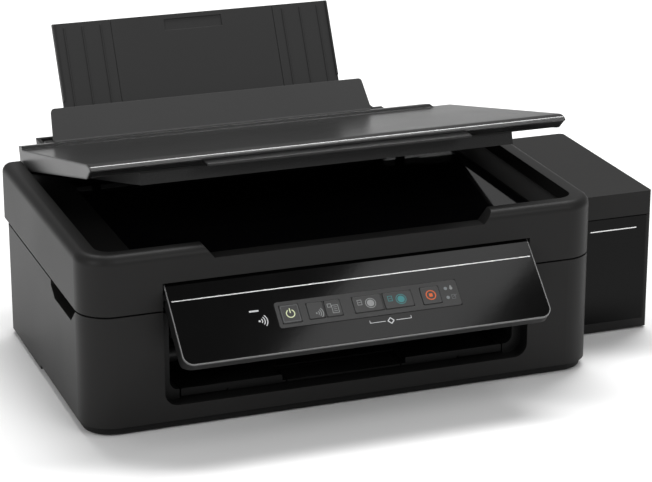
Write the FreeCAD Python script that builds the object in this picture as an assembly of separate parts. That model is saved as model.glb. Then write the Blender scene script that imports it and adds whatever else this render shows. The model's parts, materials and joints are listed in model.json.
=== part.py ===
"""Flatbed inkjet printer with a side ink tank: one STEP file per physical piece.

Working axes while modelling: X from the casing's left face, Y from its front face towards the rear,
Z up from the floor, all in millimetres. The last step moves everything so that the origin is the
centre of the underside of the whole object's box.
"""
import FreeCAD, Part
import math
import os

Vec = FreeCAD.Vector
X_AXIS = Vec(1, 0, 0)
Y_AXIS = Vec(0, 1, 0)
Z_AXIS = Vec(0, 0, 1)

# ---- casing ----
BODY_W = 390.0            # width of the casing without the tank
BODY_D = 242.0            # depth of the scanner unit
BASE_D = BODY_D - 13.0    # depth of the base above its rear bump
BUMP_D = BODY_D + 1.0     # depth of the base at the power supply bump
BUMP_Z = (10.0, 46.0)     # height span of that bump
SEAM_Z = 90.0             # line between base and scanner unit
SEAM_GAP = 1.2
RIM_Z = 134.0             # crest of the scanner rim
WALL = 2.5
CORNER_R = 24.0           # front corners in plan
REAR_R = 8.0
RIM_ROUND = 7.0
SKIRT_Z = 7.0             # lower edge of the side walls
REAR_SKIRT_Z = 4.0
SKIRT_STEP_Y = 133.0
PLINTH_INSET = 3.2
FOOT_H = 1.6
FOOT_R = 8.0
PLATE_T = 2.4
FIT = 0.3                 # clearance between fixed pieces
RUN = 0.06                # radial running clearance of a shaft

# ---- front bay and control panel ----
BAY_X = (57.0, BODY_W - 55.5)
BAY_Z = (18.5, 110.5)
BAY_R = 10.0
BAY_DEPTH = 46.0
BEZEL_STEP = 7.0
MOUTH_D = 12.0            # depth of the bay before its step
POCKET_D = 18.0           # clearance pocket for the panel in the scanner unit
PANEL_H = 67.0
PANEL_T = 11.0
PANEL_GAP = 1.0
PANEL_TOP_R = 4.2         # rounded top edge, concentric with the hinge
PANEL_PIVOT = (PANEL_TOP_R, BAY_Z[1] - 1.0 - PANEL_TOP_R)   # Y, Z
PANEL_TILT = 48.0         # resting tilt from the stowed position
PANEL_R = 8.0
FASCIA_T = 1.6
TRIM_W = 0.9
STRIP_X = (131.5, 268.5)  # button strip on the fascia
STRIP_S = (28.0, 48.5)    # down the face from the panel's top edge
BUTTON_TRAVEL = 0.8
BUTTON_PROUD = 0.9
PANEL_PIN_R = 1.2
PANEL_HEAD_R = 2.3        # rounded head of each hinge bracket

# ---- scanner unit ----
RECESS_X = (14.8, BODY_W - 14.8)
LID_X = (RECESS_X[0] + 1.0, RECESS_X[1] - 1.0)
RECESS_Y = 12.0
RECESS_Z = 124.0
GLASS_X = (50.0, BODY_W - 29.0)
GLASS_Y = (22.0, BODY_D - 10.0)
GLASS_Z = 115.5
GLASS_T = 2.8
GLASS_LAP = 6.0
NOTCH_X = (95.0, BODY_W - 92.0)
NOTCH_Z = 125.0
NOTCH_END = 8.0
SCANNER_PIVOT = (BODY_D + 5.0, 114.0)
SCANNER_PIN_R = 1.5
SCANNER_EAR_X = (73.0, 303.0)
EAR_W = 6.0
SCAN_ROD_YZ = (132.0, SEAM_Z + SEAM_GAP / 2 + 7.0)
SCAN_ROD_R = 3.0
FINGER_Y = (27.0, 91.0)
FINGER_H = 11.0
FINGER_DEPTH = 9.0

# ---- document cover ----
LID_FRONT_Y = 22.5
LID_REAR_Y = BODY_D
LID_PIVOT = (BODY_D - 4.0, 133.0)
LID_BOTTOM_Z = 126.0
LID_FRONT_TOP_Z = 136.0
LID_REAR_TOP_Z = 142.0
LID_ROLL = 12.0             # depth of the rolled front edge
LID_LIP_DROP = 4.4          # front lip below the top's front line
LID_ROLL_STEPS = 10
LID_OPEN = 15.0           # resting opening from closed
LID_SPINE_X = (LID_X[0], BODY_W - 38.0)
LID_SPINE_H = 2.6
LID_SPINE_D = 11.0
LID_SKIN = 2.4
LID_PIN_R = 2.0
LID_KNUCKLE_X = (64.0, BODY_W - 72.0)
LID_KNUCKLE_W = 14.0
GRIP_X = (NOTCH_X[0] + 2.0, NOTCH_X[1] - 2.0)
GRIP_REACH = 9.0
MAT_T = 9.0
MAT_INSET = 38.0

# ---- rear feeder ----
FEED_LEAN = 27.0          # paper plane from vertical
FEED_FOOT = (BASE_D + 7.0, 55.6)  # a point of the paper plane, Y and Z
FEEDER_X = (40.0, 321.0)
FEEDER_TOP = 134.0
FEEDER_FOOT_Z = 46.0
CHUTE_FRONT = 14.0        # paper plane to the front wall's face
CHUTE_KNEE_Z = 106.0      # the front wall leans back above this height
CHUTE_BACK = 13.0         # paper plane to the back wall's outer face
SUPPORT_X = (64.5, 295.5)
SUPPORT_TOP = 216.0
SUPPORT_FOOT_Z = 127.0
SUPPORT_PIVOT_Z = 130.0
SUPPORT_PIN_R = 1.6
SUPPORT_T = 3.4
SUPPORT_OFF = 4.6         # paper plane to the support's face
EXTENSION_X = (112.0, 248.0)
EXTENSION_LEN = 80.0
EXTENSION_DEPTH = 1.8
HOPPER_T = 2.2
GUARD_X = (FEEDER_X[0] + 6.5, FEEDER_X[1] - 9.5)
GUARD_PIVOT = (BODY_D + 16.6, 136.8)
GUARD_H = 29.5
GUARD_T = 2.4
GUARD_LEAN = 37.3
GUARD_PIN_R = 1.6
HOPPER_TOP = 122.0
HOPPER_LEN = 72.0
HOPPER_PIVOT_Z = 119.0
HOPPER_PIN_R = 1.5

# ---- mechanism ----
FRAME_X = (22.0, BODY_W - 22.0)
FRAME_T = 1.5
BEAM_Y = 158.0
RAIL_YZ = (128.0, 72.0)
RAIL_R = 4.0
CARRIAGE_X = (BODY_W - 104.0, BODY_W - 28.0)
PULLEY_R = 6.0
PULLEY_X = (34.0, BODY_W - 34.0)
BELT_YZ = (146.0, 76.0)
BELT_T = 1.2
BELT_W = 5.0
FEED_ROLLER_YZ = (150.0, 34.0)
EXIT_ROLLER_YZ = (58.0, 34.0)
ROLLER_R = 6.0
SHAFT_R = 3.0
MOTOR_SHAFT_R = 1.5
GEAR_M = 1.0
GEAR_T = 5.0
FEED_TEETH = 36
IDLER_TEETH = 56
PINION_TEETH = 12
PINION_DIRECTION = -50.0
GEAR_X = 12.0
PICKUP_YZ = (BASE_D - 10.0, 61.0)
PICKUP_R = 14.0
PICKUP_X = (150.0, 178.0)
PICKUP_SHAFT_X = (128.0, 250.0)
PICKUP_POST_X = (131.0, 240.0)
PLATEN_Z = 38.0
WASTE_X = (252.0, 352.0)
WASTE_Y = (168.0, 220.0)
WASTE_TOP = 24.0
BOARD_X = (142.0, 234.0)
BOARD_Y = (166.0, 206.0)
BOARD_Z = 14.0

# ---- output tray ----
TRAY_X = (72.0, 319.0)
TRAY_Z = 19.6
TRAY_Y = (MOUTH_D, 128.0)
TRAY_H = 5.8
TRAY_T = 2.6
TRAY_WELL_X = (148.0, 243.0)
TRAY_WELL_D = 25.0
CHANNEL_INSET = 34.0

# ---- ink tank ----
TANK_X = (BODY_W + 0.6, BODY_W + 76.0)
TANK_Y = (63.5, 223.0)
TANK_Z = (1.6, 112.5)
TANK_COVER_H = 19.0
TANK_WALL = 2.2
TANK_PIVOT = (TANK_Y[1] - 2.5, TANK_Z[1] - 16.1)
TANK_PIN_R = 1.3
TANK_EAR_R = 2.4
TANK_EAR_W = 6.0
TANK_EAR_X = (TANK_X[0] + 10.0, TANK_X[1] - 16.0)
TANK_BAND_H = 7.0
BOTTLES = 4
WINDOW_W = 20.0
WINDOW_Z = (16.0, 78.0)

PIECES = {}


def keep(name, shape):
    """Registers one piece under the name that its file gets."""
    PIECES[name] = shape
    return shape


def block(x, y, z):
    """Box between the pairs x, y and z."""
    return Part.makeBox(x[1] - x[0], y[1] - y[0], z[1] - z[0], Vec(x[0], y[0], z[0]))


def rod_x(x, yz, r):
    """Cylinder along X between the pair x, centred on the pair yz."""
    return Part.makeCylinder(r, x[1] - x[0], Vec(x[0], yz[0], yz[1]), X_AXIS)


def rod_z(centre, z, r):
    return Part.makeCylinder(r, z[1] - z[0], Vec(centre[0], centre[1], z[0]), Z_AXIS)


def prism_x(points, x):
    """Extrudes a Y, Z outline along X."""
    wire = Part.makePolygon([Vec(x[0], y, z) for y, z in points + points[:1]])
    return Part.Face(wire).extrude(Vec(x[1] - x[0], 0, 0))


def prism_y(points, y):
    """Extrudes an X, Z outline along Y."""
    wire = Part.makePolygon([Vec(px, y[0], pz) for px, pz in points + points[:1]])
    return Part.Face(wire).extrude(Vec(0, y[1] - y[0], 0))


def prism_z(points, z):
    """Extrudes an X, Y outline along Z."""
    wire = Part.makePolygon([Vec(px, py, z[0]) for px, py in points + points[:1]])
    return Part.Face(wire).extrude(Vec(0, 0, z[1] - z[0]))


def upright_edges(shape, wanted):
    """Edges parallel to Z whose X, Y passes the test wanted(x, y)."""
    found = []
    for edge in shape.Edges:
        a, b = edge.Vertexes[0].Point, edge.Vertexes[-1].Point
        if abs(a.x - b.x) < 1e-6 and abs(a.y - b.y) < 1e-6 and wanted(a.x, a.y):
            found.append(edge)
    return found


def rounded_plan(x, y, z, front_r, rear_r):
    """Box whose upright edges are rounded, with different radii at the front and the rear."""
    shape = block(x, y, z)
    middle = (y[0] + y[1]) / 2
    if front_r:
        shape = shape.makeFillet(front_r, upright_edges(shape, lambda px, py: py < middle))
    if rear_r:
        shape = shape.makeFillet(rear_r, upright_edges(shape, lambda px, py: py > middle))
    return shape


def turned(shape, yz, degrees):
    """Copy of shape turned about the X axis through the pair yz."""
    copy = shape.copy()
    copy.rotate(Vec(0, yz[0], yz[1]), X_AXIS, degrees)
    return copy


def moved(shape, x=0.0, y=0.0, z=0.0):
    copy = shape.copy()
    copy.translate(Vec(x, y, z))
    return copy


def joined(shapes):
    """Fuses a list of shapes into one."""
    first, rest = shapes[0], shapes[1:]
    return first.fuse(rest).removeSplitter() if rest else first


# ---------------------------------------------------------------- base
def bay_outline(inset, y, top):
    """The front bay as a solid: straight sides, rounded lower corners, open at the top."""
    x0, x1 = BAY_X[0] + inset, BAY_X[1] - inset
    z0 = BAY_Z[0] + inset
    shape = block((x0, x1), y, (z0, top))
    edges = [e for e in shape.Edges
             if abs(e.Vertexes[0].Point.z - z0) < 1e-6 and abs(e.Vertexes[-1].Point.z - z0) < 1e-6
             and abs(e.Vertexes[0].Point.x - e.Vertexes[-1].Point.x) < 1e-6]
    return shape.makeFillet(max(BAY_R - inset / 2, 2.0), edges)


def base_shell():
    top = SEAM_Z - SEAM_GAP / 2
    outer = rounded_plan((0, BODY_W), (0, BASE_D), (REAR_SKIRT_Z, top), CORNER_R, REAR_R)
    bump = rounded_plan((6, BODY_W - 6), (BASE_D - 20, BUMP_D), BUMP_Z, 0, REAR_R)
    cavity = rounded_plan((WALL, BODY_W - WALL), (WALL, BASE_D - WALL), (0, top + 1), CORNER_R - WALL, 3.5)
    bump_cavity = block((6 + WALL, BODY_W - 6 - WALL), (BASE_D - 20 - 1, BUMP_D - WALL),
                        (BUMP_Z[0] + WALL, BUMP_Z[1] - WALL))
    shell = outer.fuse(bump).cut(cavity).cut(bump_cavity)
    shell = shell.cut(block((-1, BODY_W + 1), (-1, SKIRT_STEP_Y), (0, SKIRT_Z)))
    shell = shell.cut(bay_outline(0, (-1, WALL + 1), SEAM_Z + 5))
    feeder_gap = block((FEEDER_X[0] - FIT, FEEDER_X[1] + FIT), (BASE_D - WALL - 1, BASE_D + 20),
                       (FEEDER_FOOT_Z - FIT, SEAM_Z + 1))
    shell = shell.cut(feeder_gap)
    finger = prism_x([(FINGER_Y[0] - 6, top + 1), (FINGER_Y[0] + 8, top - FINGER_H),
                      (FINGER_Y[1] - 10, top - FINGER_H), (FINGER_Y[1], top - 4), (FINGER_Y[1], top + 1)],
                     (-1, FINGER_DEPTH))
    pocket = prism_x([(FINGER_Y[0] - 9, top), (FINGER_Y[0] + 6, top - FINGER_H - WALL),
                      (FINGER_Y[1] - 8, top - FINGER_H - WALL), (FINGER_Y[1] + WALL, top - 5),
                      (FINGER_Y[1] + WALL, top)], (WALL / 2, FINGER_DEPTH + WALL))
    for mirrored in (False, True):
        scoop, lining = finger, pocket
        if mirrored:
            scoop = finger.mirror(Vec(BODY_W / 2, 0, 0), X_AXIS)
            lining = pocket.mirror(Vec(BODY_W / 2, 0, 0), X_AXIS)
        shell = shell.fuse(lining).cut(scoop)
    return shell.removeSplitter()


def bottom_plate():
    """Recessed underside with the pickup shaft's bearing posts and the tub for waste ink."""
    inset = PLINTH_INSET
    floor = FOOT_H + PLATE_T
    outer = rounded_plan((inset, BODY_W - inset), (inset, BASE_D - inset), (FOOT_H, SKIRT_Z - FIT),
                         CORNER_R - inset, 3.0)
    hollow = rounded_plan((inset + WALL, BODY_W - inset - WALL), (inset + WALL, BASE_D - inset - WALL),
                          (floor, SKIRT_Z + 1), CORNER_R - inset - WALL, 1.5)
    plate = outer.cut(hollow)
    y, z = PICKUP_YZ
    posts = []
    for x in PICKUP_POST_X:
        post = block((x, x + 4), (y - 6, y + 5.5), (floor - 0.5, z + 6))
        posts.append(post.cut(rod_x((x - 1, x + 5), PICKUP_YZ, SHAFT_R + RUN)))
    tub = block(WASTE_X, WASTE_Y, (floor - 0.5, WASTE_TOP))
    tub = tub.cut(block((WASTE_X[0] + 2, WASTE_X[1] - 2), (WASTE_Y[0] + 2, WASTE_Y[1] - 2),
                        (floor, WASTE_TOP + 1)))
    return joined([plate, tub] + posts)


def rubber_feet():
    feet = []
    for x in (34, BODY_W - 34):
        for y in (34, BASE_D - 30):
            feet.append(rod_z((x, y), (0, FOOT_H), FOOT_R))
    for y in (TANK_Y[0] + 16, TANK_Y[1] - 16):
        feet.append(rod_z(((TANK_X[0] + TANK_X[1]) / 2, y), (0, TANK_Z[0]), FOOT_R))
    return Part.makeCompound(feet)


def output_bezel():
    """Dark liner of the front bay, with a step behind its mouth and the control panel's hinge brackets."""
    top = SEAM_Z - 6
    outer = bay_outline(-2.2, (WALL + 0.2, BAY_DEPTH), top)
    mouth = bay_outline(0, (-1, MOUTH_D), top + 1)
    throat = bay_outline(BEZEL_STEP, (-1, BAY_DEPTH + 1), top + 1)
    liner = outer.cut(mouth).cut(throat)
    slot = block((TRAY_X[0] - 1, TRAY_X[1] + 1), (-1, BAY_DEPTH + 1), (BAY_Z[0] + 0.001, TRAY_Z + TRAY_H + 1))
    liner = liner.cut(slot)
    y, z = PANEL_PIVOT
    back = MOUTH_D + 3.5
    width = 3.2
    for x0 in (BAY_X[0] + FIT, BAY_X[1] - FIT - width):
        post = block((x0, x0 + width), (MOUTH_D, back), (top - 10, z))
        head = rod_x((x0, x0 + width), PANEL_PIVOT, PANEL_HEAD_R)
        leg = prism_x([(y, z - PANEL_HEAD_R), (y, z + PANEL_HEAD_R), (back, z + PANEL_HEAD_R),
                       (back, z - 7), (y + 5.5, z - 7)],
                      (x0, x0 + width))
        bore = rod_x((x0 - 1, x0 + width + 1), PANEL_PIVOT, PANEL_PIN_R + RUN)
        bracket = joined([post, head, leg]).cut(bore)
        liner = liner.fuse(bracket)
    return liner.removeSplitter()


# ---------------------------------------------------------------- mechanism
def main_frame(gears):
    """Folded sheet-metal frame: a rear beam, two side plates and the fixed pins riveted to them."""
    floor = FOOT_H + PLATE_T
    x0, x1 = FRAME_X
    beam = block((x0, x1), (BEAM_Y, BEAM_Y + FRAME_T), (44, 86))
    lip = block((x0, x1), (BEAM_Y - 14, BEAM_Y + FRAME_T), (86 - FRAME_T, 86))
    frame = [beam, lip]
    for x in (x0, x1 - FRAME_T):
        side = prism_x([(50, floor), (178, floor), (178, 30), (160, 44), (160, 86),
                        (118, 86), (118, 56), (50, 50)],
                       (x, x + FRAME_T))
        for yz in (FEED_ROLLER_YZ, EXIT_ROLLER_YZ):
            side = side.cut(rod_x((x - 1, x + FRAME_T + 1), yz, SHAFT_R + RUN))
        side = side.cut(rod_x((x - 1, x + FRAME_T + 1), RAIL_YZ, RAIL_R))
        side = side.cut(rod_x((x - 1, x + FRAME_T + 1), gears["pinion"], MOTOR_SHAFT_R + 0.4))
        frame.append(side)
    y, z = BELT_YZ
    pulley_pin = Part.makeCylinder(MOTOR_SHAFT_R, BEAM_Y - y + 5.5, Vec(PULLEY_X[1], y - 5, z), Y_AXIS)
    idler_pin = rod_x((GEAR_X - 2, x0 + 0.5), gears["idler"], SHAFT_R)
    whole = joined(frame + [pulley_pin, idler_pin])
    return whole.cut(Part.makeCylinder(MOTOR_SHAFT_R + 0.4, 30, Vec(PULLEY_X[0], BEAM_Y - 2, z), Y_AXIS))


def carriage_rail():
    return rod_x((FRAME_X[0] - 2, FRAME_X[1] + 2), RAIL_YZ, RAIL_R)


def pulley(x):
    y, z = BELT_YZ
    wheel = Part.makeCylinder(PULLEY_R, BELT_W, Vec(x, y - BELT_W / 2, z), Y_AXIS)
    rims = [Part.makeCylinder(PULLEY_R + 2.2, 0.8, Vec(x, y + side, z), Y_AXIS)
            for side in (-BELT_W / 2 - 1.0, BELT_W / 2 + 0.2)]
    hub = Part.makeCylinder(3.2, 7.0, Vec(x, y - 3.5, z), Y_AXIS)
    bore = Part.makeCylinder(MOTOR_SHAFT_R + RUN, 12.0, Vec(x, y - 6, z), Y_AXIS)
    flat = Part.makeCylinder(0.8, BELT_W, Vec(x + 4.4, y - BELT_W / 2, z), Y_AXIS)
    return joined([wheel, hub] + rims).cut(bore).cut(flat)


def carriage_belt():
    """Closed loop round both pulleys."""
    y, z = BELT_YZ
    inner = PULLEY_R + 0.15

    def loop(r, width):
        straight = block(PULLEY_X, (y - width / 2, y + width / 2), (z - r, z + r))
        ends = [Part.makeCylinder(r, width, Vec(x, y - width / 2, z), Y_AXIS) for x in PULLEY_X]
        return joined([straight] + ends)

    return loop(inner + BELT_T, BELT_W - 0.6).cut(loop(inner, BELT_W + 1))


def carriage_motor():
    y, z = BELT_YZ
    can = Part.makeCylinder(13.0, 30.0, Vec(PULLEY_X[0] + 4, BEAM_Y + FRAME_T + 0.2, 68), Y_AXIS)
    boss = Part.makeCylinder(4.0, 3.0, Vec(PULLEY_X[0], BEAM_Y + FRAME_T + 0.2, z), Y_AXIS)
    shaft = Part.makeCylinder(1.5, BEAM_Y + FRAME_T + 4 - (y - 5), Vec(PULLEY_X[0], y - 5, z), Y_AXIS)
    return joined([can, boss, shaft])


def ink_carriage():
    """Carriage body with a bored sleeve on the rail and a slot for the encoder strip."""
    x = CARRIAGE_X
    body = block(x, (88, 122), (48, 83))
    well = block((x[0] + WALL, x[1] - WALL), (88 + WALL, 119), (54, 84))
    back = block(x, (119, 138), (64, 80))
    carriage = body.cut(well).fuse(back)
    carriage = carriage.cut(rod_x((x[0] - 1, x[1] + 1), RAIL_YZ, RAIL_R + RUN))
    clamp = block((x[0] + 26, x[1] - 26), (137, 143.5), (64.4, 67.0))
    return carriage.fuse(clamp).removeSplitter()


def print_head():
    x = CARRIAGE_X
    return block((x[0] + 12, x[1] - 14), (94, 116), (42, 48 - 0.01))


def ink_dampers():
    """Four damper cartridges that stand in the carriage's well."""
    x0 = CARRIAGE_X[0] + WALL + 1.5
    pitch = (CARRIAGE_X[1] - CARRIAGE_X[0] - 2 * WALL - 3) / BOTTLES
    cells = []
    for i in range(BOTTLES):
        cell = block((x0 + i * pitch + 0.6, x0 + (i + 1) * pitch - 0.6), (92, 117), (54, 78))
        nipple = rod_z((x0 + (i + 0.5) * pitch, 100), (78, 81.5), 2.0)
        cells.append(cell.fuse(nipple))
    return Part.makeCompound(cells)


def platen():
    """Ribbed plate under the print head, on two feet outside the tray's path."""
    base = block((FRAME_X[0] + 4, FRAME_X[1] - 4), (68, 140), (PLATEN_Z - 4, PLATEN_Z - 1.5))
    ribs = [block((x, x + 1.6), (70, 138), (PLATEN_Z - 1.5, PLATEN_Z)) for x in range(60, 336, 24)]
    foot_x = ((FRAME_X[0] + 6, TRAY_X[0] - 10), (TRAY_X[1] + 10, FRAME_X[1] - 6))
    feet = [block(x, (y, y + 2), (FOOT_H + PLATE_T, PLATEN_Z - 4)) for x in foot_x for y in (72, 132)]
    return joined([base] + ribs + feet)


def maintenance_station():
    """Capping station under the parked carriage."""
    x0 = CARRIAGE_X[0] + 8
    tub = block((x0, x0 + 56), (92, 120), (PLATEN_Z, PLATEN_Z + 2.2))
    seal = block((x0 + 6, x0 + 50), (96, 116), (PLATEN_Z + 2.2, PLATEN_Z + 3.6))
    seal = seal.cut(block((x0 + 8, x0 + 48), (98, 114), (PLATEN_Z + 2, PLATEN_Z + 4)))
    return tub.fuse(seal)


def gear(centre, teeth, phase, bore_r):
    """Spur gear about an X axis. phase is the direction of one tooth's middle, in radians from +Y to +Z."""
    pitch_r = GEAR_M * teeth / 2
    tip_r, root_r = pitch_r + 0.8 * GEAR_M, pitch_r - 1.15 * GEAR_M
    step = 2 * math.pi / teeth
    points = []
    for k in range(teeth):
        middle = phase + k * step
        for r, share in ((root_r, -0.30), (tip_r, -0.115), (tip_r, 0.115), (root_r, 0.30)):
            a = middle + share * step
            points.append((centre[0] + r * math.cos(a), centre[1] + r * math.sin(a)))
    body = prism_x(points, (GEAR_X, GEAR_X + GEAR_T))
    if bore_r:
        body = body.cut(rod_x((GEAR_X - 1, GEAR_X + GEAR_T + 1), centre, bore_r))
    return body


def meshed_phase(first, first_teeth, first_phase, second, second_teeth):
    """Phase of a second gear whose gap meets the first gear's tooth at their line of centres."""
    line = math.atan2(second[1] - first[1], second[0] - first[0])
    share = ((line - first_phase) * first_teeth / (2 * math.pi)) % 1.0
    return line + math.pi - (0.5 - share) * 2 * math.pi / second_teeth


def gear_centres():
    """Centres of the idler gear and of the motor's pinion."""
    feed, out = FEED_ROLLER_YZ, EXIT_ROLLER_YZ
    reach = GEAR_M * (FEED_TEETH + PINION_TEETH) / 2
    angle = math.radians(PINION_DIRECTION)
    return {"idler": ((feed[0] + out[0]) / 2, feed[1]),
            "pinion": (feed[0] + reach * math.cos(angle), feed[1] + reach * math.sin(angle))}


def gear_train(centres):
    """Feed roller gear, wide idler, exit roller gear and the motor's pinion, all in mesh."""
    feed, out = FEED_ROLLER_YZ, EXIT_ROLLER_YZ
    idler, pinion = centres["idler"], centres["pinion"]
    idler_phase = meshed_phase(feed, FEED_TEETH, 0.0, idler, IDLER_TEETH)
    exit_phase = meshed_phase(idler, IDLER_TEETH, idler_phase, out, FEED_TEETH)
    pinion_phase = meshed_phase(feed, FEED_TEETH, 0.0, pinion, PINION_TEETH)
    idler_gear = gear(idler, IDLER_TEETH, idler_phase, SHAFT_R + RUN)
    ring = rod_x((GEAR_X - 1, GEAR_X + 1.6), idler, 23).cut(rod_x((GEAR_X - 2, GEAR_X + 3), idler, 7))
    shaft = rod_x((GEAR_X - 1, FRAME_X[0] + FRAME_T + 4), pinion, MOTOR_SHAFT_R)
    return {"feed": gear(feed, FEED_TEETH, 0.0, 0), "exit": gear(out, FEED_TEETH, exit_phase, 0),
            "idler": idler_gear.cut(ring), "pinion": gear(pinion, PINION_TEETH, pinion_phase, 0).fuse(shaft)}


def feed_motor(pinion):
    can = rod_x((FRAME_X[0] + FRAME_T, FRAME_X[0] + FRAME_T + 26), pinion, 11)
    return can.cut(rod_x((FRAME_X[0], FRAME_X[0] + FRAME_T + 5), pinion, MOTOR_SHAFT_R + RUN))


def roller(yz, sleeves, shaft_x):
    shaft = rod_x(shaft_x, yz, SHAFT_R)
    return joined([shaft] + [rod_x(x, yz, ROLLER_R) for x in sleeves])


def pickup_roller():
    shaft = rod_x(PICKUP_SHAFT_X, PICKUP_YZ, SHAFT_R)
    tyre = rod_x(PICKUP_X, PICKUP_YZ, PICKUP_R)
    groove = rod_x((PICKUP_X[0] + 13, PICKUP_X[1] - 13), PICKUP_YZ, PICKUP_R + 1)
    groove = groove.cut(rod_x(PICKUP_X, PICKUP_YZ, PICKUP_R - 2))
    return shaft.fuse(tyre.cut(groove)).removeSplitter()


def circuit_board():
    x, y, z = BOARD_X, BOARD_Y, BOARD_Z
    top = z + 1.6
    board = block(x, y, (z, top))
    legs = [rod_z((px, py), (FOOT_H + PLATE_T, z + 0.2), 3.0)
            for px in (x[0] + 4, x[1] - 4) for py in (y[0] + 4, y[1] - 4)]
    chips = [block((x[0] + 14, x[0] + 34), (y[0] + 12, y[0] + 28), (top - 0.1, top + 2.2)),
             block((x[0] + 46, x[0] + 58), (y[0] + 14, y[0] + 26), (top - 0.1, top + 1.8)),
             block((x[0] + 66, x[0] + 78), (y[0] + 8, y[0] + 34), (top - 0.1, top + 7.4))]
    return joined([board] + legs + chips)


def waste_ink_pads():
    x0, y0 = WASTE_X[0] + 2.4, WASTE_Y[0] + 2.4
    pitch = (WASTE_X[1] - WASTE_X[0] - 4.4) / 4
    pads = [block((x0 + i * pitch, x0 + (i + 1) * pitch - 0.6), (y0, WASTE_Y[1] - 2.4),
                  (FOOT_H + PLATE_T, WASTE_TOP - 2))
            for i in range(4)]
    return Part.makeCompound(pads)


def power_supply():
    """Power supply block with its two-pin mains socket in the rear bump."""
    box = block((26, 122), (182, 226), (14, 40))
    feet = [block((x, x + 6), (186, 198), (FOOT_H + PLATE_T, 14.2)) for x in (30, 112)]
    body = block((INLET_X, INLET_X + INLET_W), (225, BUMP_D + 0.4), (20, 20 + INLET_H))
    mouth = block((INLET_X + 3, INLET_X + 19), (BUMP_D - 9, BUMP_D + 1), (22.5, 31.5))
    edges = [e for e in mouth.Edges if abs(e.Vertexes[0].Point.y - e.Vertexes[-1].Point.y) > 1]
    body = body.cut(mouth.makeFillet(3.5, edges))
    pins = [Part.makeCylinder(1.2, 4.0, Vec(INLET_X + px, BUMP_D - 9.5, 27), Y_AXIS) for px in (7, 15)]
    return joined([box, body] + feet + pins)


# ---------------------------------------------------------------- rear feeder
def plane_y(z, offset=0.0):
    """Y of the line parallel to the paper plane, offset millimetres behind it, at height z."""
    lean = math.radians(FEED_LEAN)
    return FEED_FOOT[0] + (z - FEED_FOOT[1]) * math.tan(lean) + offset / math.cos(lean)


def leaning_plate(x, offset, thickness, z_top, length):
    """Plate parallel to the paper plane, from its top height down by its length."""
    lean = math.radians(FEED_LEAN)
    y0 = plane_y(z_top, offset)
    normal = (math.cos(lean), -math.sin(lean))
    down = (-math.sin(lean) * length, -math.cos(lean) * length)
    a = (y0, z_top)
    b = (y0 + normal[0] * thickness, z_top + normal[1] * thickness)
    return prism_x([a, b, (b[0] + down[0], b[1] + down[1]), (a[0] + down[0], a[1] + down[1])], x)


def support_pivot():
    """Hinge of the paper support, in the middle of its plate."""
    return (plane_y(SUPPORT_PIVOT_Z, SUPPORT_OFF + SUPPORT_T / 2), SUPPORT_PIVOT_Z)


def hopper_pivot():
    return (plane_y(HOPPER_PIVOT_Z, 0.8 + HOPPER_T / 2), HOPPER_PIVOT_Z)


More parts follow.
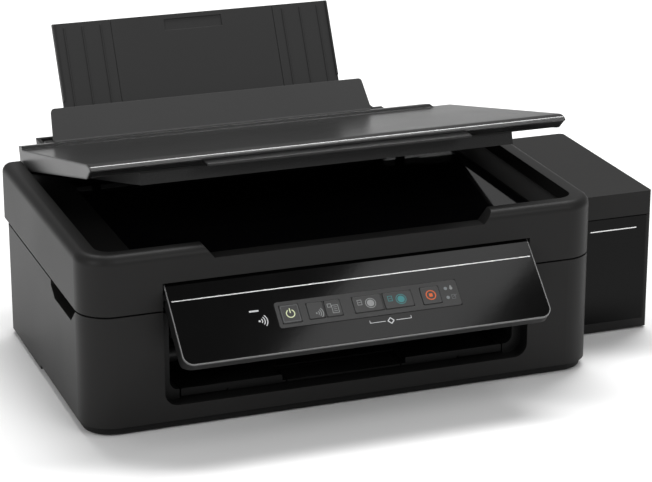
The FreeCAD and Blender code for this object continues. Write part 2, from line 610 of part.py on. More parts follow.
def feeder_housing():
    """Chute behind the scanner unit: two cheeks, a back wall, a short front wall and hinge posts."""
    x0, x1 = FEEDER_X
    foot = FEEDER_FOOT_Z
    front_top = plane_y(FEEDER_TOP, -CHUTE_FRONT)
    face = BODY_D + 1.4
    outline = [(front_top - WALL, FEEDER_TOP), (plane_y(FEEDER_TOP, CHUTE_BACK), FEEDER_TOP),
               (plane_y(foot, CHUTE_BACK), foot), (BASE_D + 0.4, foot), (BASE_D + 0.4, SEAM_Z - 3),
               (face, SEAM_Z - 3), (face, CHUTE_KNEE_Z)]
    shell = prism_x(outline, (x0, x1))
    inner = [(front_top, FEEDER_TOP + 1), (plane_y(FEEDER_TOP + 1, CHUTE_BACK - WALL), FEEDER_TOP + 1),
             (plane_y(foot + WALL, CHUTE_BACK - WALL), foot + WALL), (BASE_D - 1, foot + WALL),
             (BASE_D - 1, SEAM_Z - 3 - WALL), (face + WALL, SEAM_Z - 3 - WALL), (face + WALL, CHUTE_KNEE_Z)]
    shell = shell.cut(prism_x(inner, (x0 + 3, x1 - 3)))
    y, z = SCANNER_PIVOT
    reach = plane_y(z, -CHUTE_FRONT) - 0.5
    for x in SCANNER_EAR_X:
        shell = shell.cut(rod_x((x - EAR_W / 2 - 0.4, x + EAR_W / 2 + 0.4), SCANNER_PIVOT, 8.0))
        for x_post in (x - EAR_W / 2 - 0.4 - 4, x + EAR_W / 2 + 0.4):
            post = prism_x([(y - 3.0, z - 3), (y - 3.0, z + 2), (y, z + 3.2),
                            (reach + 3, z + 6), (reach - 4, z - 9)],
                           (x_post, x_post + 4))
            shell = shell.fuse(post)
        shell = shell.fuse(rod_x((x - EAR_W / 2 - 4.4, x + EAR_W / 2 + 4.4), SCANNER_PIVOT, SCANNER_PIN_R))
    sy, sz = support_pivot()
    back = plane_y(sz, CHUTE_BACK - 1)
    for x_lug in (SUPPORT_X[0] - 0.5 - 5, SUPPORT_X[1] + 0.5):
        lug = prism_x([(sy - 3, sz - 2), (sy - 3, sz + 2.5), (sy + 2, sz + 3.6),
                       (back, sz + 3.6), (back - 6, sz - 9)],
                      (x_lug, x_lug + 5))
        shell = shell.fuse(lug).cut(rod_x((x_lug - 1, x_lug + 6), (sy, sz), SUPPORT_PIN_R + RUN))
    shell = shell.cut(rod_x((x0 - 1, x1 + 1), hopper_pivot(), HOPPER_PIN_R + RUN))
    gy, gz = GUARD_PIVOT
    for cheek in ((x0, GUARD_X[0] - 0.5), (GUARD_X[1] + 0.5, x1)):
        ear = prism_x([(gy - 3, FEEDER_TOP - 3), (gy + 7, FEEDER_TOP - 3),
                       (gy + 3, gz + 3.0), (gy - 2.4, gz + 3.0)], cheek)
        shell = shell.fuse(ear)
    shell = shell.cut(rod_x((x0 - 1, x1 + 1), GUARD_PIVOT, GUARD_PIN_R + RUN))
    relief = prism_x([(gy - 5.4, gz - 3.2), (gy + 5.0, gz - 3.2), (gy + 5.0, gz + 6), (gy - 5.4, gz + 6)],
                     (GUARD_X[0] - 0.5, GUARD_X[1] + 0.5))
    return shell.cut(relief).removeSplitter()


def hopper_plate():
    """Sprung plate that lifts the paper stack to the pickup roller."""
    x = (FEEDER_X[0] + 7, FEEDER_X[1] - 7)
    plate = leaning_plate(x, 0.8, HOPPER_T, HOPPER_TOP, HOPPER_LEN)
    window = leaning_plate((156, 172), -2.0, 8.0, 84.0, 14.0)
    pins = [rod_x((FEEDER_X[0] + 0.6, x[0] + 1), hopper_pivot(), HOPPER_PIN_R),
            rod_x((x[1] - 1, FEEDER_X[1] - 0.6), hopper_pivot(), HOPPER_PIN_R)]
    return joined([plate.cut(window)] + pins)


def separation_pad():
    return prism_x([(229.8, 49.2), (240.5, 49.2), (240.5, 52.0), (234.0, 52.0)], (146, 182))


def paper_support():
    """Tall panel that the paper leans on, with raised side ribs and a central track for its extension."""
    lean = math.cos(math.radians(FEED_LEAN))
    length = (SUPPORT_TOP - SUPPORT_FOOT_Z) / lean
    plate = leaning_plate(SUPPORT_X, SUPPORT_OFF, SUPPORT_T, SUPPORT_TOP, length)
    track_x = (EXTENSION_X[0] - FIT, EXTENSION_X[1] + FIT)
    track = leaning_plate(track_x, SUPPORT_OFF - 1, 1 + EXTENSION_DEPTH, SUPPORT_TOP + 1, EXTENSION_LEN + 4)
    plate = plate.cut(track)
    ribs = []
    for x in ((SUPPORT_X[0], SUPPORT_X[0] + 1.4), (SUPPORT_X[1] - 1.4, SUPPORT_X[1])):
        ribs.append(leaning_plate(x, SUPPORT_OFF - 1.3, 1.3, SUPPORT_TOP, 62.0))
    pivot = support_pivot()
    pins = [rod_x((SUPPORT_X[0] - 5.2, SUPPORT_X[0] + 4), pivot, SUPPORT_PIN_R),
            rod_x((SUPPORT_X[1] - 4, SUPPORT_X[1] + 5.2), pivot, SUPPORT_PIN_R)]
    return joined([plate] + ribs + pins)


def support_extension():
    plate = leaning_plate(EXTENSION_X, SUPPORT_OFF + 0.1, EXTENSION_DEPTH - 0.2, SUPPORT_TOP, EXTENSION_LEN)
    grip_x = (EXTENSION_X[0] + 44, EXTENSION_X[1] - 44)
    grip = leaning_plate(grip_x, SUPPORT_OFF - 1, 1.8, SUPPORT_TOP - 3, 9.0)
    return plate.cut(grip)


def edge_guide():
    """Sliding fence that holds the left edge of the paper stack."""
    foot = leaning_plate((70, 96), -1.4, 1.2, 118.0, 44.0)
    fence = leaning_plate((70, 72.4), -5.5, 4.2, 128.0, 40.0)
    pinch = leaning_plate((70, 82), -5.5, 1.6, 128.0, 9.0)
    return joined([foot, fence, pinch])


def feeder_guard():
    """Flap in front of the paper; it leans back with the paper at rest."""
    gy, gz = GUARD_PIVOT
    top = gz + GUARD_H
    taper = 3.0
    flap = prism_y([(GUARD_X[0], gz), (GUARD_X[1], gz), (GUARD_X[1] - taper, top), (GUARD_X[0] + taper, top)],
                   (gy - GUARD_T / 2, gy + GUARD_T / 2))
    corners = [e for e in flap.Edges if abs(e.Vertexes[0].Point.z - top) < 1e-6
               and abs(e.Vertexes[-1].Point.z - top) < 1e-6
               and abs(e.Vertexes[0].Point.y - e.Vertexes[-1].Point.y) > 1]
    flap = flap.makeFillet(3.0, corners)
    face = gy - GUARD_T / 2
    lip = block((GUARD_X[0] + 1, GUARD_X[1] - 1), (face - 1.4, face + 0.5), (gz + 0.4, gz + 2.2))
    barrel = rod_x((GUARD_X[0], GUARD_X[1]), GUARD_PIVOT, 2.4)
    pins = [rod_x((GUARD_X[0] - 5.5, GUARD_X[0] + 1), GUARD_PIVOT, GUARD_PIN_R),
            rod_x((GUARD_X[1] - 1, GUARD_X[1] + 5.5), GUARD_PIVOT, GUARD_PIN_R)]
    return turned(joined([flap, barrel, lip] + pins), GUARD_PIVOT, -GUARD_LEAN)


# ---------------------------------------------------------------- scanner unit
def frustum(x_low, y_low, z_low, x_high, y_high, z_high):
    """Tapered block between two rectangles."""
    wires = []
    for x, y, z in ((x_low, y_low, z_low), (x_high, y_high, z_high)):
        wires.append(Part.makePolygon([Vec(x[0], y[0], z), Vec(x[1], y[0], z), Vec(x[1], y[1], z),
                                       Vec(x[0], y[1], z), Vec(x[0], y[0], z)]))
    return Part.makeLoft(wires, True, True)


def scanner_case():
    """Upper casing of the scanner: side walls, rounded rim, sloped bezel round the glass."""
    z0 = SEAM_Z + SEAM_GAP / 2
    case = rounded_plan((0, BODY_W), (0, BODY_D), (z0, RIM_Z), CORNER_R, REAR_R)
    rim_edges = [e for e in case.Edges if all(abs(v.Point.z - RIM_Z) < 1e-6 for v in e.Vertexes)]
    case = case.makeFillet(min(RIM_ROUND, REAR_R - 0.5), rim_edges)
    recess = rounded_plan(RECESS_X, (RECESS_Y, BODY_D + 5), (RECESS_Z, RIM_Z + 1), 12.0, 0)
    case = case.cut(recess)
    slope = frustum(GLASS_X, GLASS_Y, GLASS_Z + 1.5, (RECESS_X[0] + 1, RECESS_X[1] - 1),
                    (RECESS_Y + 1, BODY_D - 4), RECESS_Z + 0.01)
    case = case.cut(slope)
    case = case.cut(block(GLASS_X, GLASS_Y, (GLASS_Z - 1, GLASS_Z + 2)))
    pocket_x = (BAY_X[0], BAY_X[1])
    pocket_wall = block((pocket_x[0] - WALL, pocket_x[1] + WALL), (WALL - 1, POCKET_D + WALL),
                        (z0, BAY_Z[1] + WALL))
    cavity = rounded_plan((WALL, BODY_W - WALL), (WALL, BODY_D - WALL), (z0 - 1, GLASS_Z),
                          CORNER_R - WALL, 3.5)
    case = case.cut(cavity.cut(pocket_wall))
    case = case.cut(block(pocket_x, (-1, POCKET_D), (z0 - 1, BAY_Z[1])))
    notch = prism_y([(NOTCH_X[0], NOTCH_Z), (NOTCH_X[1], NOTCH_Z), (NOTCH_X[1] + NOTCH_END, RIM_Z + 1),
                     (NOTCH_X[0] - NOTCH_END, RIM_Z + 1)], (-1, RECESS_Y + 6))
    case = case.cut(notch)
    y, z = LID_PIVOT
    for x in LID_KNUCKLE_X:
        for x_boss in (x - LID_KNUCKLE_W / 2 - 0.5 - 5, x + LID_KNUCKLE_W / 2 + 0.5):
            boss = prism_x([(y - 5, RECESS_Z - 1), (y + 4, RECESS_Z - 1), (y + 4, z + 1.5), (y + 2, z + 3.2),
                            (y - 2, z + 3.2), (y - 5, z + 1)], (x_boss, x_boss + 5))
            case = case.fuse(boss)
        half = LID_KNUCKLE_W / 2 + 7
        case = case.cut(rod_x((x - half, x + half), LID_PIVOT, LID_PIN_R + RUN))
    py, pz = SCANNER_PIVOT
    for x in SCANNER_EAR_X:
        ear = prism_x([(BODY_D - WALL, pz - 5), (py, pz - 3.6), (py + 3.2, pz), (py, pz + 3.6),
                       (BODY_D - WALL, pz + 5)],
                      (x - EAR_W / 2, x + EAR_W / 2))
        case = case.fuse(ear.cut(rod_x((x - EAR_W, x + EAR_W), SCANNER_PIVOT, SCANNER_PIN_R + RUN)))
    return case.removeSplitter()


def scanner_floor():
    z0 = SEAM_Z + SEAM_GAP / 2
    edge = WALL + FIT
    plate = rounded_plan((edge, BODY_W - edge), (edge, BODY_D - edge), (z0, z0 + 2), CORNER_R - edge, 3.0)
    around = WALL + FIT
    pocket = block((BAY_X[0] - around, BAY_X[1] + around), (-1, POCKET_D + around), (z0 - 1, z0 + 3))
    return plate.cut(pocket)


def scanner_glass():
    return block((GLASS_X[0] - GLASS_LAP, GLASS_X[1] + GLASS_LAP), (GLASS_Y[0], GLASS_Y[1] + 5),
                 (GLASS_Z - GLASS_T, GLASS_Z))


def scan_rail():
    z = SEAM_Z + SEAM_GAP / 2 + 2
    rod = rod_x((8, BODY_W - 8), SCAN_ROD_YZ, SCAN_ROD_R)
    mounts = [block((x, x + 5), (126, 138), (z, z + 9)) for x in (8, BODY_W - 13)]
    return joined([rod] + mounts)


def scan_bar():
    """Contact image sensor bar with its lens strip and motor, travelling along the glass on a rod."""
    z = SEAM_Z + SEAM_GAP / 2 + 2
    top = GLASS_Z - GLASS_T - 0.6
    body = block((50, 68), (25, 230), (z + 9.4, top - 0.4))
    lens = block((57, 61), (27, 228), (top - 0.5, top))
    foot = block((50, 68), (124, 140), (z + 0.6, z + 9.6))
    motor = block((66, 82), (96, 122), (z + 0.6, z + 14))
    bar = joined([body, lens, foot, motor])
    return bar.cut(rod_x((49, 90), SCAN_ROD_YZ, SCAN_ROD_R + RUN))


# ---------------------------------------------------------------- document cover
def lid_outline(shrink=0.0):
    """Side view of the closed cover. The top rolls over to a thin lip at the front."""
    front, rear = LID_FRONT_Y + shrink, LID_REAR_Y - shrink
    rise = (LID_REAR_TOP_Z - LID_FRONT_TOP_Z) / (LID_REAR_Y - LID_FRONT_Y)
    lip = LID_FRONT_TOP_Z - LID_LIP_DROP
    height = LID_FRONT_TOP_Z + rise * LID_ROLL - shrink - lip
    turns = [math.radians(90.0 * step / LID_ROLL_STEPS) for step in range(LID_ROLL_STEPS + 1)]
    roll = [(front + LID_ROLL * (1 - math.cos(turn)), lip + height * math.sin(turn)) for turn in turns]
    return roll + [
            (rear, LID_REAR_TOP_Z - shrink), (rear, LID_BOTTOM_Z + 4), (rear - 12, LID_BOTTOM_Z),
            (front + 12, LID_BOTTOM_Z), (front + 3, LID_FRONT_TOP_Z - 5.4)]


def lid_pose(shape):
    return turned(shape, LID_PIVOT, -LID_OPEN)


def document_cover():
    """Upper shell of the cover with its spine and finger grip."""
    shell = prism_x(lid_outline(), LID_X)
    hollow = prism_x([(LID_FRONT_Y + 9, LID_BOTTOM_Z - 1), (LID_FRONT_Y + 9, LID_FRONT_TOP_Z - 3.4),
                      (LID_REAR_Y - 12, LID_REAR_TOP_Z - LID_SKIN - 0.6),
                      (LID_REAR_Y - 12, LID_BOTTOM_Z - 1)],
                     (LID_X[0] + LID_SKIN, LID_X[1] - LID_SKIN))
    shell = shell.cut(hollow)
    top = LID_REAR_TOP_Z
    spine = prism_y([(LID_SPINE_X[0], top - 2), (LID_SPINE_X[1] + 6, top - 2),
                     (LID_SPINE_X[1], top + LID_SPINE_H),
                     (LID_SPINE_X[0], top + LID_SPINE_H)], (LID_REAR_Y - LID_SPINE_D, LID_REAR_Y + 0.5))
    lip, nose = LID_FRONT_TOP_Z, LID_FRONT_Y - GRIP_REACH
    grip = prism_x([(nose, lip - 7.6), (LID_FRONT_Y + 4, lip - 4.4), (LID_FRONT_Y + 4, lip - 7.4),
                    (nose + 1, lip - 9.4)], GRIP_X)
    shell = shell.fuse([spine, grip])
    y, z = LID_PIVOT
    for x in LID_KNUCKLE_X:
        half = LID_KNUCKLE_W / 2
        for x_boss in (x - half - 0.9 - 5, x + half + 0.1):
            gap = rod_x((x_boss, x_boss + 5.8), LID_PIVOT, 8.0)
            shell = shell.cut(gap)
        shell = shell.fuse(rod_x((x - half, x + half), LID_PIVOT, 4.2))
        shell = shell.fuse(rod_x((x - half - 5.2, x + half + 5.2), LID_PIVOT, LID_PIN_R))
    return lid_pose(shell.removeSplitter())


def lid_inner():
    """Flat inner panel that closes the cover's underside."""
    x = (LID_X[0] + LID_SKIN + FIT, LID_X[1] - LID_SKIN - FIT)
    y = (LID_FRONT_Y + 9 + FIT, LID_REAR_Y - 12 - FIT)
    return lid_pose(block(x, y, (LID_BOTTOM_Z + 0.6, LID_BOTTOM_Z + 2.6)))


def lid_mat():
    """Foam-backed pressing mat over the glass."""
    x = (LID_X[0] + MAT_INSET, LID_X[1] - MAT_INSET)
    y = (LID_FRONT_Y + 12, LID_REAR_Y - 22)
    return lid_pose(block(x, y, (LID_BOTTOM_Z + 0.6 - MAT_T, LID_BOTTOM_Z + 0.6)))


# ---------------------------------------------------------------- control panel
def panel_pose(shape):
    return turned(shape, PANEL_PIVOT, -PANEL_TILT)


def panel_z(s):
    """Height of a point s millimetres down the stowed panel's face."""
    return BAY_Z[1] - PANEL_GAP - s


def panel_x():
    return (BAY_X[0] + PANEL_GAP, BAY_X[1] - PANEL_GAP)


def panel_slab(x, y, z, radius):
    """Slab with its two lower corners rounded and its top edge rounded about the hinge."""
    slab = block(x, y, z)
    edges = [e for e in slab.Edges
             if all(abs(v.Point.z - z[0]) < 1e-6 for v in e.Vertexes)
             and abs(e.Vertexes[0].Point.x - e.Vertexes[-1].Point.x) < 1e-6]
    slab = slab.makeFillet(radius, edges)
    top = PANEL_PIVOT[1] + PANEL_TOP_R
    corner = block((x[0] - 1, x[1] + 1), (-1, PANEL_TOP_R), (PANEL_PIVOT[1], top + 2))
    return slab.cut(corner.cut(rod_x((x[0] - 2, x[1] + 2), PANEL_PIVOT, PANEL_TOP_R)))


def panel_shell():
    x, z = panel_x(), (panel_z(PANEL_H), panel_z(0))
    shell = panel_slab(x, (FASCIA_T, PANEL_T), z, PANEL_R)
    hollow = block((x[0] + 6, x[1] - 6), (FASCIA_T + 1.6, PANEL_T + 1), (z[0] + 3, z[1] - 12))
    shell = shell.cut(hollow)
    tail = prism_x([(PANEL_T - 4, z[0] - 1), (PANEL_T + 1, z[0] - 1), (PANEL_T + 1, z[0] + 6)],
                   (x[0] - 1, x[1] + 1))
    shell = shell.cut(tail)
    for gap_x in ((x[0] - 1, x[0] + 3.4), (x[1] - 3.4, x[1] + 1)):
        shell = shell.cut(block(gap_x, (FASCIA_T + 0.1, PANEL_T + 1), (PANEL_PIVOT[1] - 9.5, z[1] + 1)))
    slot = block((STRIP_X[0] + 2, STRIP_X[1] - 2), (0, FASCIA_T + 3),
                 (panel_z(STRIP_S[1] - 2), panel_z(STRIP_S[0] + 2)))
    shell = shell.cut(slot)
    pins = []
    for side, sign in ((x[0], 1), (x[1], -1)):
        inner = side + sign * 2.6
        reach = side - sign * 0.6
        pins.append(rod_x(tuple(sorted((reach, inner + sign * 4))), PANEL_PIVOT, PANEL_PIN_R))
    z_low = z[0] + 16
    arms = []
    for x0 in (x[0] + 7.0, x[1] - 7.0 - 2.4):
        arm = prism_x([(PANEL_T - 8, z_low), (PANEL_T - 8, z_low + 24), (PANEL_T + 8, z_low + 21),
                       (PANEL_T + 19, z_low + 8), (PANEL_T + 19, z_low + 3), (PANEL_T + 8, z_low + 3)],
                      (x0, x0 + 2.4))
        arms.append(arm)
    legs = [block((x0, x0 + 3), (FASCIA_T + 1, FASCIA_T + 1.4 + BUTTON_TRAVEL + 0.3), (z[1] - 34, z[1] - 28))
            for x0 in (STRIP_X[0] - 5, STRIP_X[1] + 2)]
    return panel_pose(joined([shell] + pins + arms + legs))


def panel_fascia():
    """Glossy front plate with a cut-out for the button strip."""
    x, z = panel_x(), (panel_z(PANEL_H), panel_z(0))
    plate = panel_slab((x[0] + TRIM_W, x[1] - TRIM_W), (0, FASCIA_T - 0.02), (z[0] + TRIM_W, z[1]),
                       PANEL_R - TRIM_W)
    window = block(STRIP_X, (-1, FASCIA_T + 1), (panel_z(STRIP_S[1]), panel_z(STRIP_S[0])))
    return panel_pose(plate.cut(window))


def panel_trim():
    """Thin bright edge round the sides and the lower edge of the fascia."""
    x, z = panel_x(), (panel_z(PANEL_H), panel_z(0))
    outer = panel_slab(x, (0.1, FASCIA_T - 0.02), z, PANEL_R)
    inner = panel_slab((x[0] + TRIM_W, x[1] - TRIM_W), (-1, FASCIA_T + 1), (z[0] + TRIM_W, z[1] + 1),
                       PANEL_R - TRIM_W)
    return panel_pose(outer.cut(inner))


BUTTONS = {
    "power_button": (134.6, 148.6, 31.2, 45.2),
    "wireless_button": (154.4, 166.2, 32.0, 44.4),
    "status_button": (167.4, 179.2, 32.0, 44.4),
    "mono_copy_button": (188.4, 210.0, 32.0, 44.4),
    "color_copy_button": (211.4, 233.0, 32.0, 44.4),
    "stop_button": (240.0, 254.0, 31.5, 44.9),
}
LAMPS = ((259.4, 34.3), (259.4, 41.6))
LAMP_R = 1.3
BUTTON_FIT = 0.25


def strip_openings():
    """Cutters for the buttons and lamps, through the strip and its backing."""
    cutters = []
    for x0, x1, s0, s1 in BUTTONS.values():
        z = (panel_z(s1) - BUTTON_FIT, panel_z(s0) + BUTTON_FIT)
        cutters.append(block((x0 - BUTTON_FIT, x1 + BUTTON_FIT), (-1, 5), z))
    for x, s in LAMPS:
        cutters.append(Part.makeCylinder(LAMP_R, 8, Vec(x, -1, panel_z(s)), Y_AXIS))
    return cutters


def button_strip():
    """Grey bezel with one opening per button and per lamp."""
    z = (panel_z(STRIP_S[1]), panel_z(STRIP_S[0]))
    strip = block((STRIP_X[0] + 0.1, STRIP_X[1] - 0.1), (-0.35, FASCIA_T - 0.02), (z[0] + 0.1, z[1] - 0.1))
    edges = [e for e in strip.Edges if abs(e.Vertexes[0].Point.y - e.Vertexes[-1].Point.y) > 1]
    strip = strip.makeFillet(2.0, edges)
    rest = block((STRIP_X[0] + 2.4, STRIP_X[1] - 2.4), (FASCIA_T - 0.02, FASCIA_T + 1.5),
                 (z[0] + 2.4, z[1] - 2.4))
    return panel_pose(strip.fuse(rest).cut(strip_openings()).removeSplitter())


def button(x0, x1, s0, s1):
    """Push button: a rounded cap on a stem."""
    cap = block((x0, x1), (-BUTTON_PROUD, FASCIA_T + 1.4), (panel_z(s1), panel_z(s0)))
    edges = [e for e in cap.Edges if abs(e.Vertexes[0].Point.y - e.Vertexes[-1].Point.y) > 1]
    cap = cap.makeFillet(1.2, edges)
    face = [e for e in cap.Edges if all(abs(v.Point.y + BUTTON_PROUD) < 1e-6 for v in e.Vertexes)]
    cap = cap.makeFillet(0.4, face)
    return panel_pose(cap)


def indicator_lamps():
    lamps = [Part.makeCylinder(LAMP_R - 0.05, FASCIA_T + 2.2, Vec(x, -0.5, panel_z(s)), Y_AXIS)
             for x, s in LAMPS]
    return panel_pose(Part.makeCompound(lamps))


def panel_board():
    """Circuit board behind the buttons."""
    z = (panel_z(STRIP_S[1]) - 2, panel_z(STRIP_S[0]) + 2)
    y0 = FASCIA_T + 1.4 + BUTTON_TRAVEL + 0.3
    return panel_pose(block((STRIP_X[0] - 6, STRIP_X[1] + 6), (y0, y0 + 1.6), z))


# ---------------------------------------------------------------- output tray
def output_tray():
    """Sheet tray with low side walls, a finger well at its front and a channel below for its extension."""
    x, y, z = TRAY_X, TRAY_Y, TRAY_Z
    tray = block(x, y, (z, z + TRAY_H))
    tray = tray.cut(block((x[0] + 2, x[1] - 2), (y[0] + 2.6, y[1] + 1), (z + TRAY_T, z + TRAY_H + 1)))
    channel_x = (x[0] + CHANNEL_INSET, x[1] - CHANNEL_INSET)
    tray = tray.cut(block(channel_x, (y[0] - 1, y[1] - 8), (z - 1, z + 1.0 + FIT)))
    return tray.cut(block(TRAY_WELL_X, (y[0] - 1, y[0] + TRAY_WELL_D), (z - 1, z + TRAY_H + 1)))


def tray_extension():
    """Second stage of the tray. It slides in the channel below the tray and has a well for the stopper."""
    x = (TRAY_X[0] + CHANNEL_INSET + 1, TRAY_X[1] - CHANNEL_INSET - 1)
    plate = block(x, (TRAY_Y[0] + 0.6, TRAY_Y[1] - 12), (TRAY_Z - 0.6, TRAY_Z + 1.0))
    well_x = (TRAY_WELL_X[0] + 3, TRAY_WELL_X[1] - 3)
    return plate.cut(block(well_x, (TRAY_Y[0] - 1, stopper_pivot()[0] + 1.2),
                           (TRAY_Z - 2, TRAY_Z + 3)))


def stopper_pivot():
    return (TRAY_Y[0] + 22.0, TRAY_Z + 0.2)


def tray_stopper():
    """Small flap at the end of the extension that stands up to stop the sheets."""
    y, z = stopper_pivot()
    x = (TRAY_WELL_X[0] + 4, TRAY_WELL_X[1] - 4)
    flap = block(x, (TRAY_Y[0] + 0.6, y), (z - 0.8, z + 0.8))
    return flap.fuse(rod_x(x, (y, z), 0.8)).removeSplitter()


# ---------------------------------------------------------------- ink tank
def tank_case():
    top = TANK_Z[1] - TANK_COVER_H
    case = rounded_plan(TANK_X, TANK_Y, (TANK_Z[0], top), 2.0, 4.0)
    inside_x = (TANK_X[0] + TANK_WALL, TANK_X[1] - TANK_WALL)
    inside_y = (TANK_Y[0] + TANK_WALL, TANK_Y[1] - TANK_WALL)
    hollow = block(inside_x, inside_y, (TANK_Z[0] + 2.4, top + 1))
    case = case.cut(hollow)
    face = block((TANK_X[0] - 1, TANK_X[1] - 3.6), (TANK_Y[0] - 1, TANK_Y[0] + 1.2),
                 (TANK_Z[0] + TANK_BAND_H, top + 1))
    case = case.cut(face)
    pitch = bottle_pitch()
    for i in range(BOTTLES):
        middle = TANK_Y[0] + 2.4 + (i + 0.5) * pitch
        window_y = (middle - WINDOW_W / 2, middle + WINDOW_W / 2)
        window = block((TANK_X[1] - 3.5, TANK_X[1] + 1), window_y, WINDOW_Z)
        edges = [e for e in window.Edges if abs(e.Vertexes[0].Point.x - e.Vertexes[-1].Point.x) > 1]
        case = case.cut(window.makeFillet(3.0, edges))
    y, z = TANK_PIVOT
    for x in TANK_EAR_X:
        web = block((x, x + TANK_EAR_W), (y - TANK_EAR_R, TANK_Y[1] - 0.1), (top - 12, z))
        ear = web.fuse(rod_x((x, x + TANK_EAR_W), TANK_PIVOT, TANK_EAR_R))
        case = case.fuse(ear).cut(rod_x((x - 1, x + TANK_EAR_W + 1), TANK_PIVOT, TANK_PIN_R + RUN))
    return case.removeSplitter()


def bottle_pitch():
    return (TANK_Y[1] - TANK_Y[0] - 4.8 - 8.0) / BOTTLES


def ink_tanks():
    """Four clear tanks side by side, each with a filler neck."""
    pitch = bottle_pitch()
    tanks = []
    for i in range(BOTTLES):
        y0 = TANK_Y[0] + 2.4 + i * pitch
        tank = block((TANK_X[0] + 4, TANK_X[1] - 2.6), (y0 + 0.5, y0 + pitch - 0.5), (TANK_Z[0] + 2.4, 84))
        neck = rod_z((TANK_X[1] - 18, y0 + pitch / 2), (84, 91), 6.0)
        tanks.append(tank.fuse(neck))
    return Part.makeCompound(tanks)


def tank_caps():
    pitch = bottle_pitch()
    caps = []
    for i in range(BOTTLES):
        centre = (TANK_X[1] - 18, TANK_Y[0] + 2.4 + (i + 0.5) * pitch)
        cap = rod_z(centre, (91, 96), 8.0)
        pull = block((centre[0] - 16, centre[0] - 4), (centre[1] - 3, centre[1] + 3), (94.0, 96))
        caps.append(cap.fuse(pull))
    return Part.makeCompound(caps)


def tank_front():
    """Glossy plate on the front of the tank."""
    top = TANK_Z[1] - TANK_COVER_H
    return block((TANK_X[0] + 0.2, TANK_X[1] - 3.8), (TANK_Y[0], TANK_Y[0] + 1.15),
                 (TANK_Z[0] + TANK_BAND_H + 0.1, top - 0.3))


def tank_cover():
    """Hinged cap over the filler necks. Its lower rear edge is rounded about the hinge."""
    bottom = TANK_Z[1] - TANK_COVER_H + 0.4
    cover = rounded_plan(TANK_X, TANK_Y, (bottom, TANK_Z[1]), 2.0, 4.0)
    inside_x = (TANK_X[0] + TANK_WALL, TANK_X[1] - TANK_WALL)
    inside_y = (TANK_Y[0] + TANK_WALL, TANK_Y[1] - TANK_WALL)
    hollow = block(inside_x, inside_y, (bottom - 1, TANK_Z[1] - TANK_WALL))
    cover = cover.cut(hollow)
    y, z = TANK_PIVOT
    heel = block((TANK_X[0] - 1, TANK_X[1] + 1), (y, TANK_Y[1] + 1), (bottom - 1, z))
    cover = cover.cut(heel.cut(rod_x((TANK_X[0] - 2, TANK_X[1] + 2), TANK_PIVOT, TANK_Y[1] - y)))
    pins = []
    for x in TANK_EAR_X:
        gap = block((x - 0.4, x + TANK_EAR_W + 0.4), (y - 3.2, TANK_Y[1] + 1), (bottom - 1, z + 3.2))
        cover = cover.cut(gap)
        pins.append(rod_x((x - 3, x + TANK_EAR_W + 3), TANK_PIVOT, TANK_PIN_R))
    return joined([cover] + pins)


# ---------------------------------------------------------------- sockets and fasteners
INLET_X = 46.0
INLET_W = 22.0
INLET_H = 14.0
USB_X = 344.0
USB_W = 14.0
USB_H = 13.0


def usb_socket():
    body = block((USB_X, USB_X + USB_W), (BUMP_D - 16, BUMP_D + 0.4), (20, 20 + USB_H))
    mouth = block((USB_X + 2.6, USB_X + 11.4), (BUMP_D - 10, BUMP_D + 1), (22.4, 30.6))
    tongue = block((USB_X + 4.4, USB_X + 9.6), (BUMP_D - 10.5, BUMP_D - 6), (25.2, 27.8))
    return body.cut(mouth).fuse(tongue)


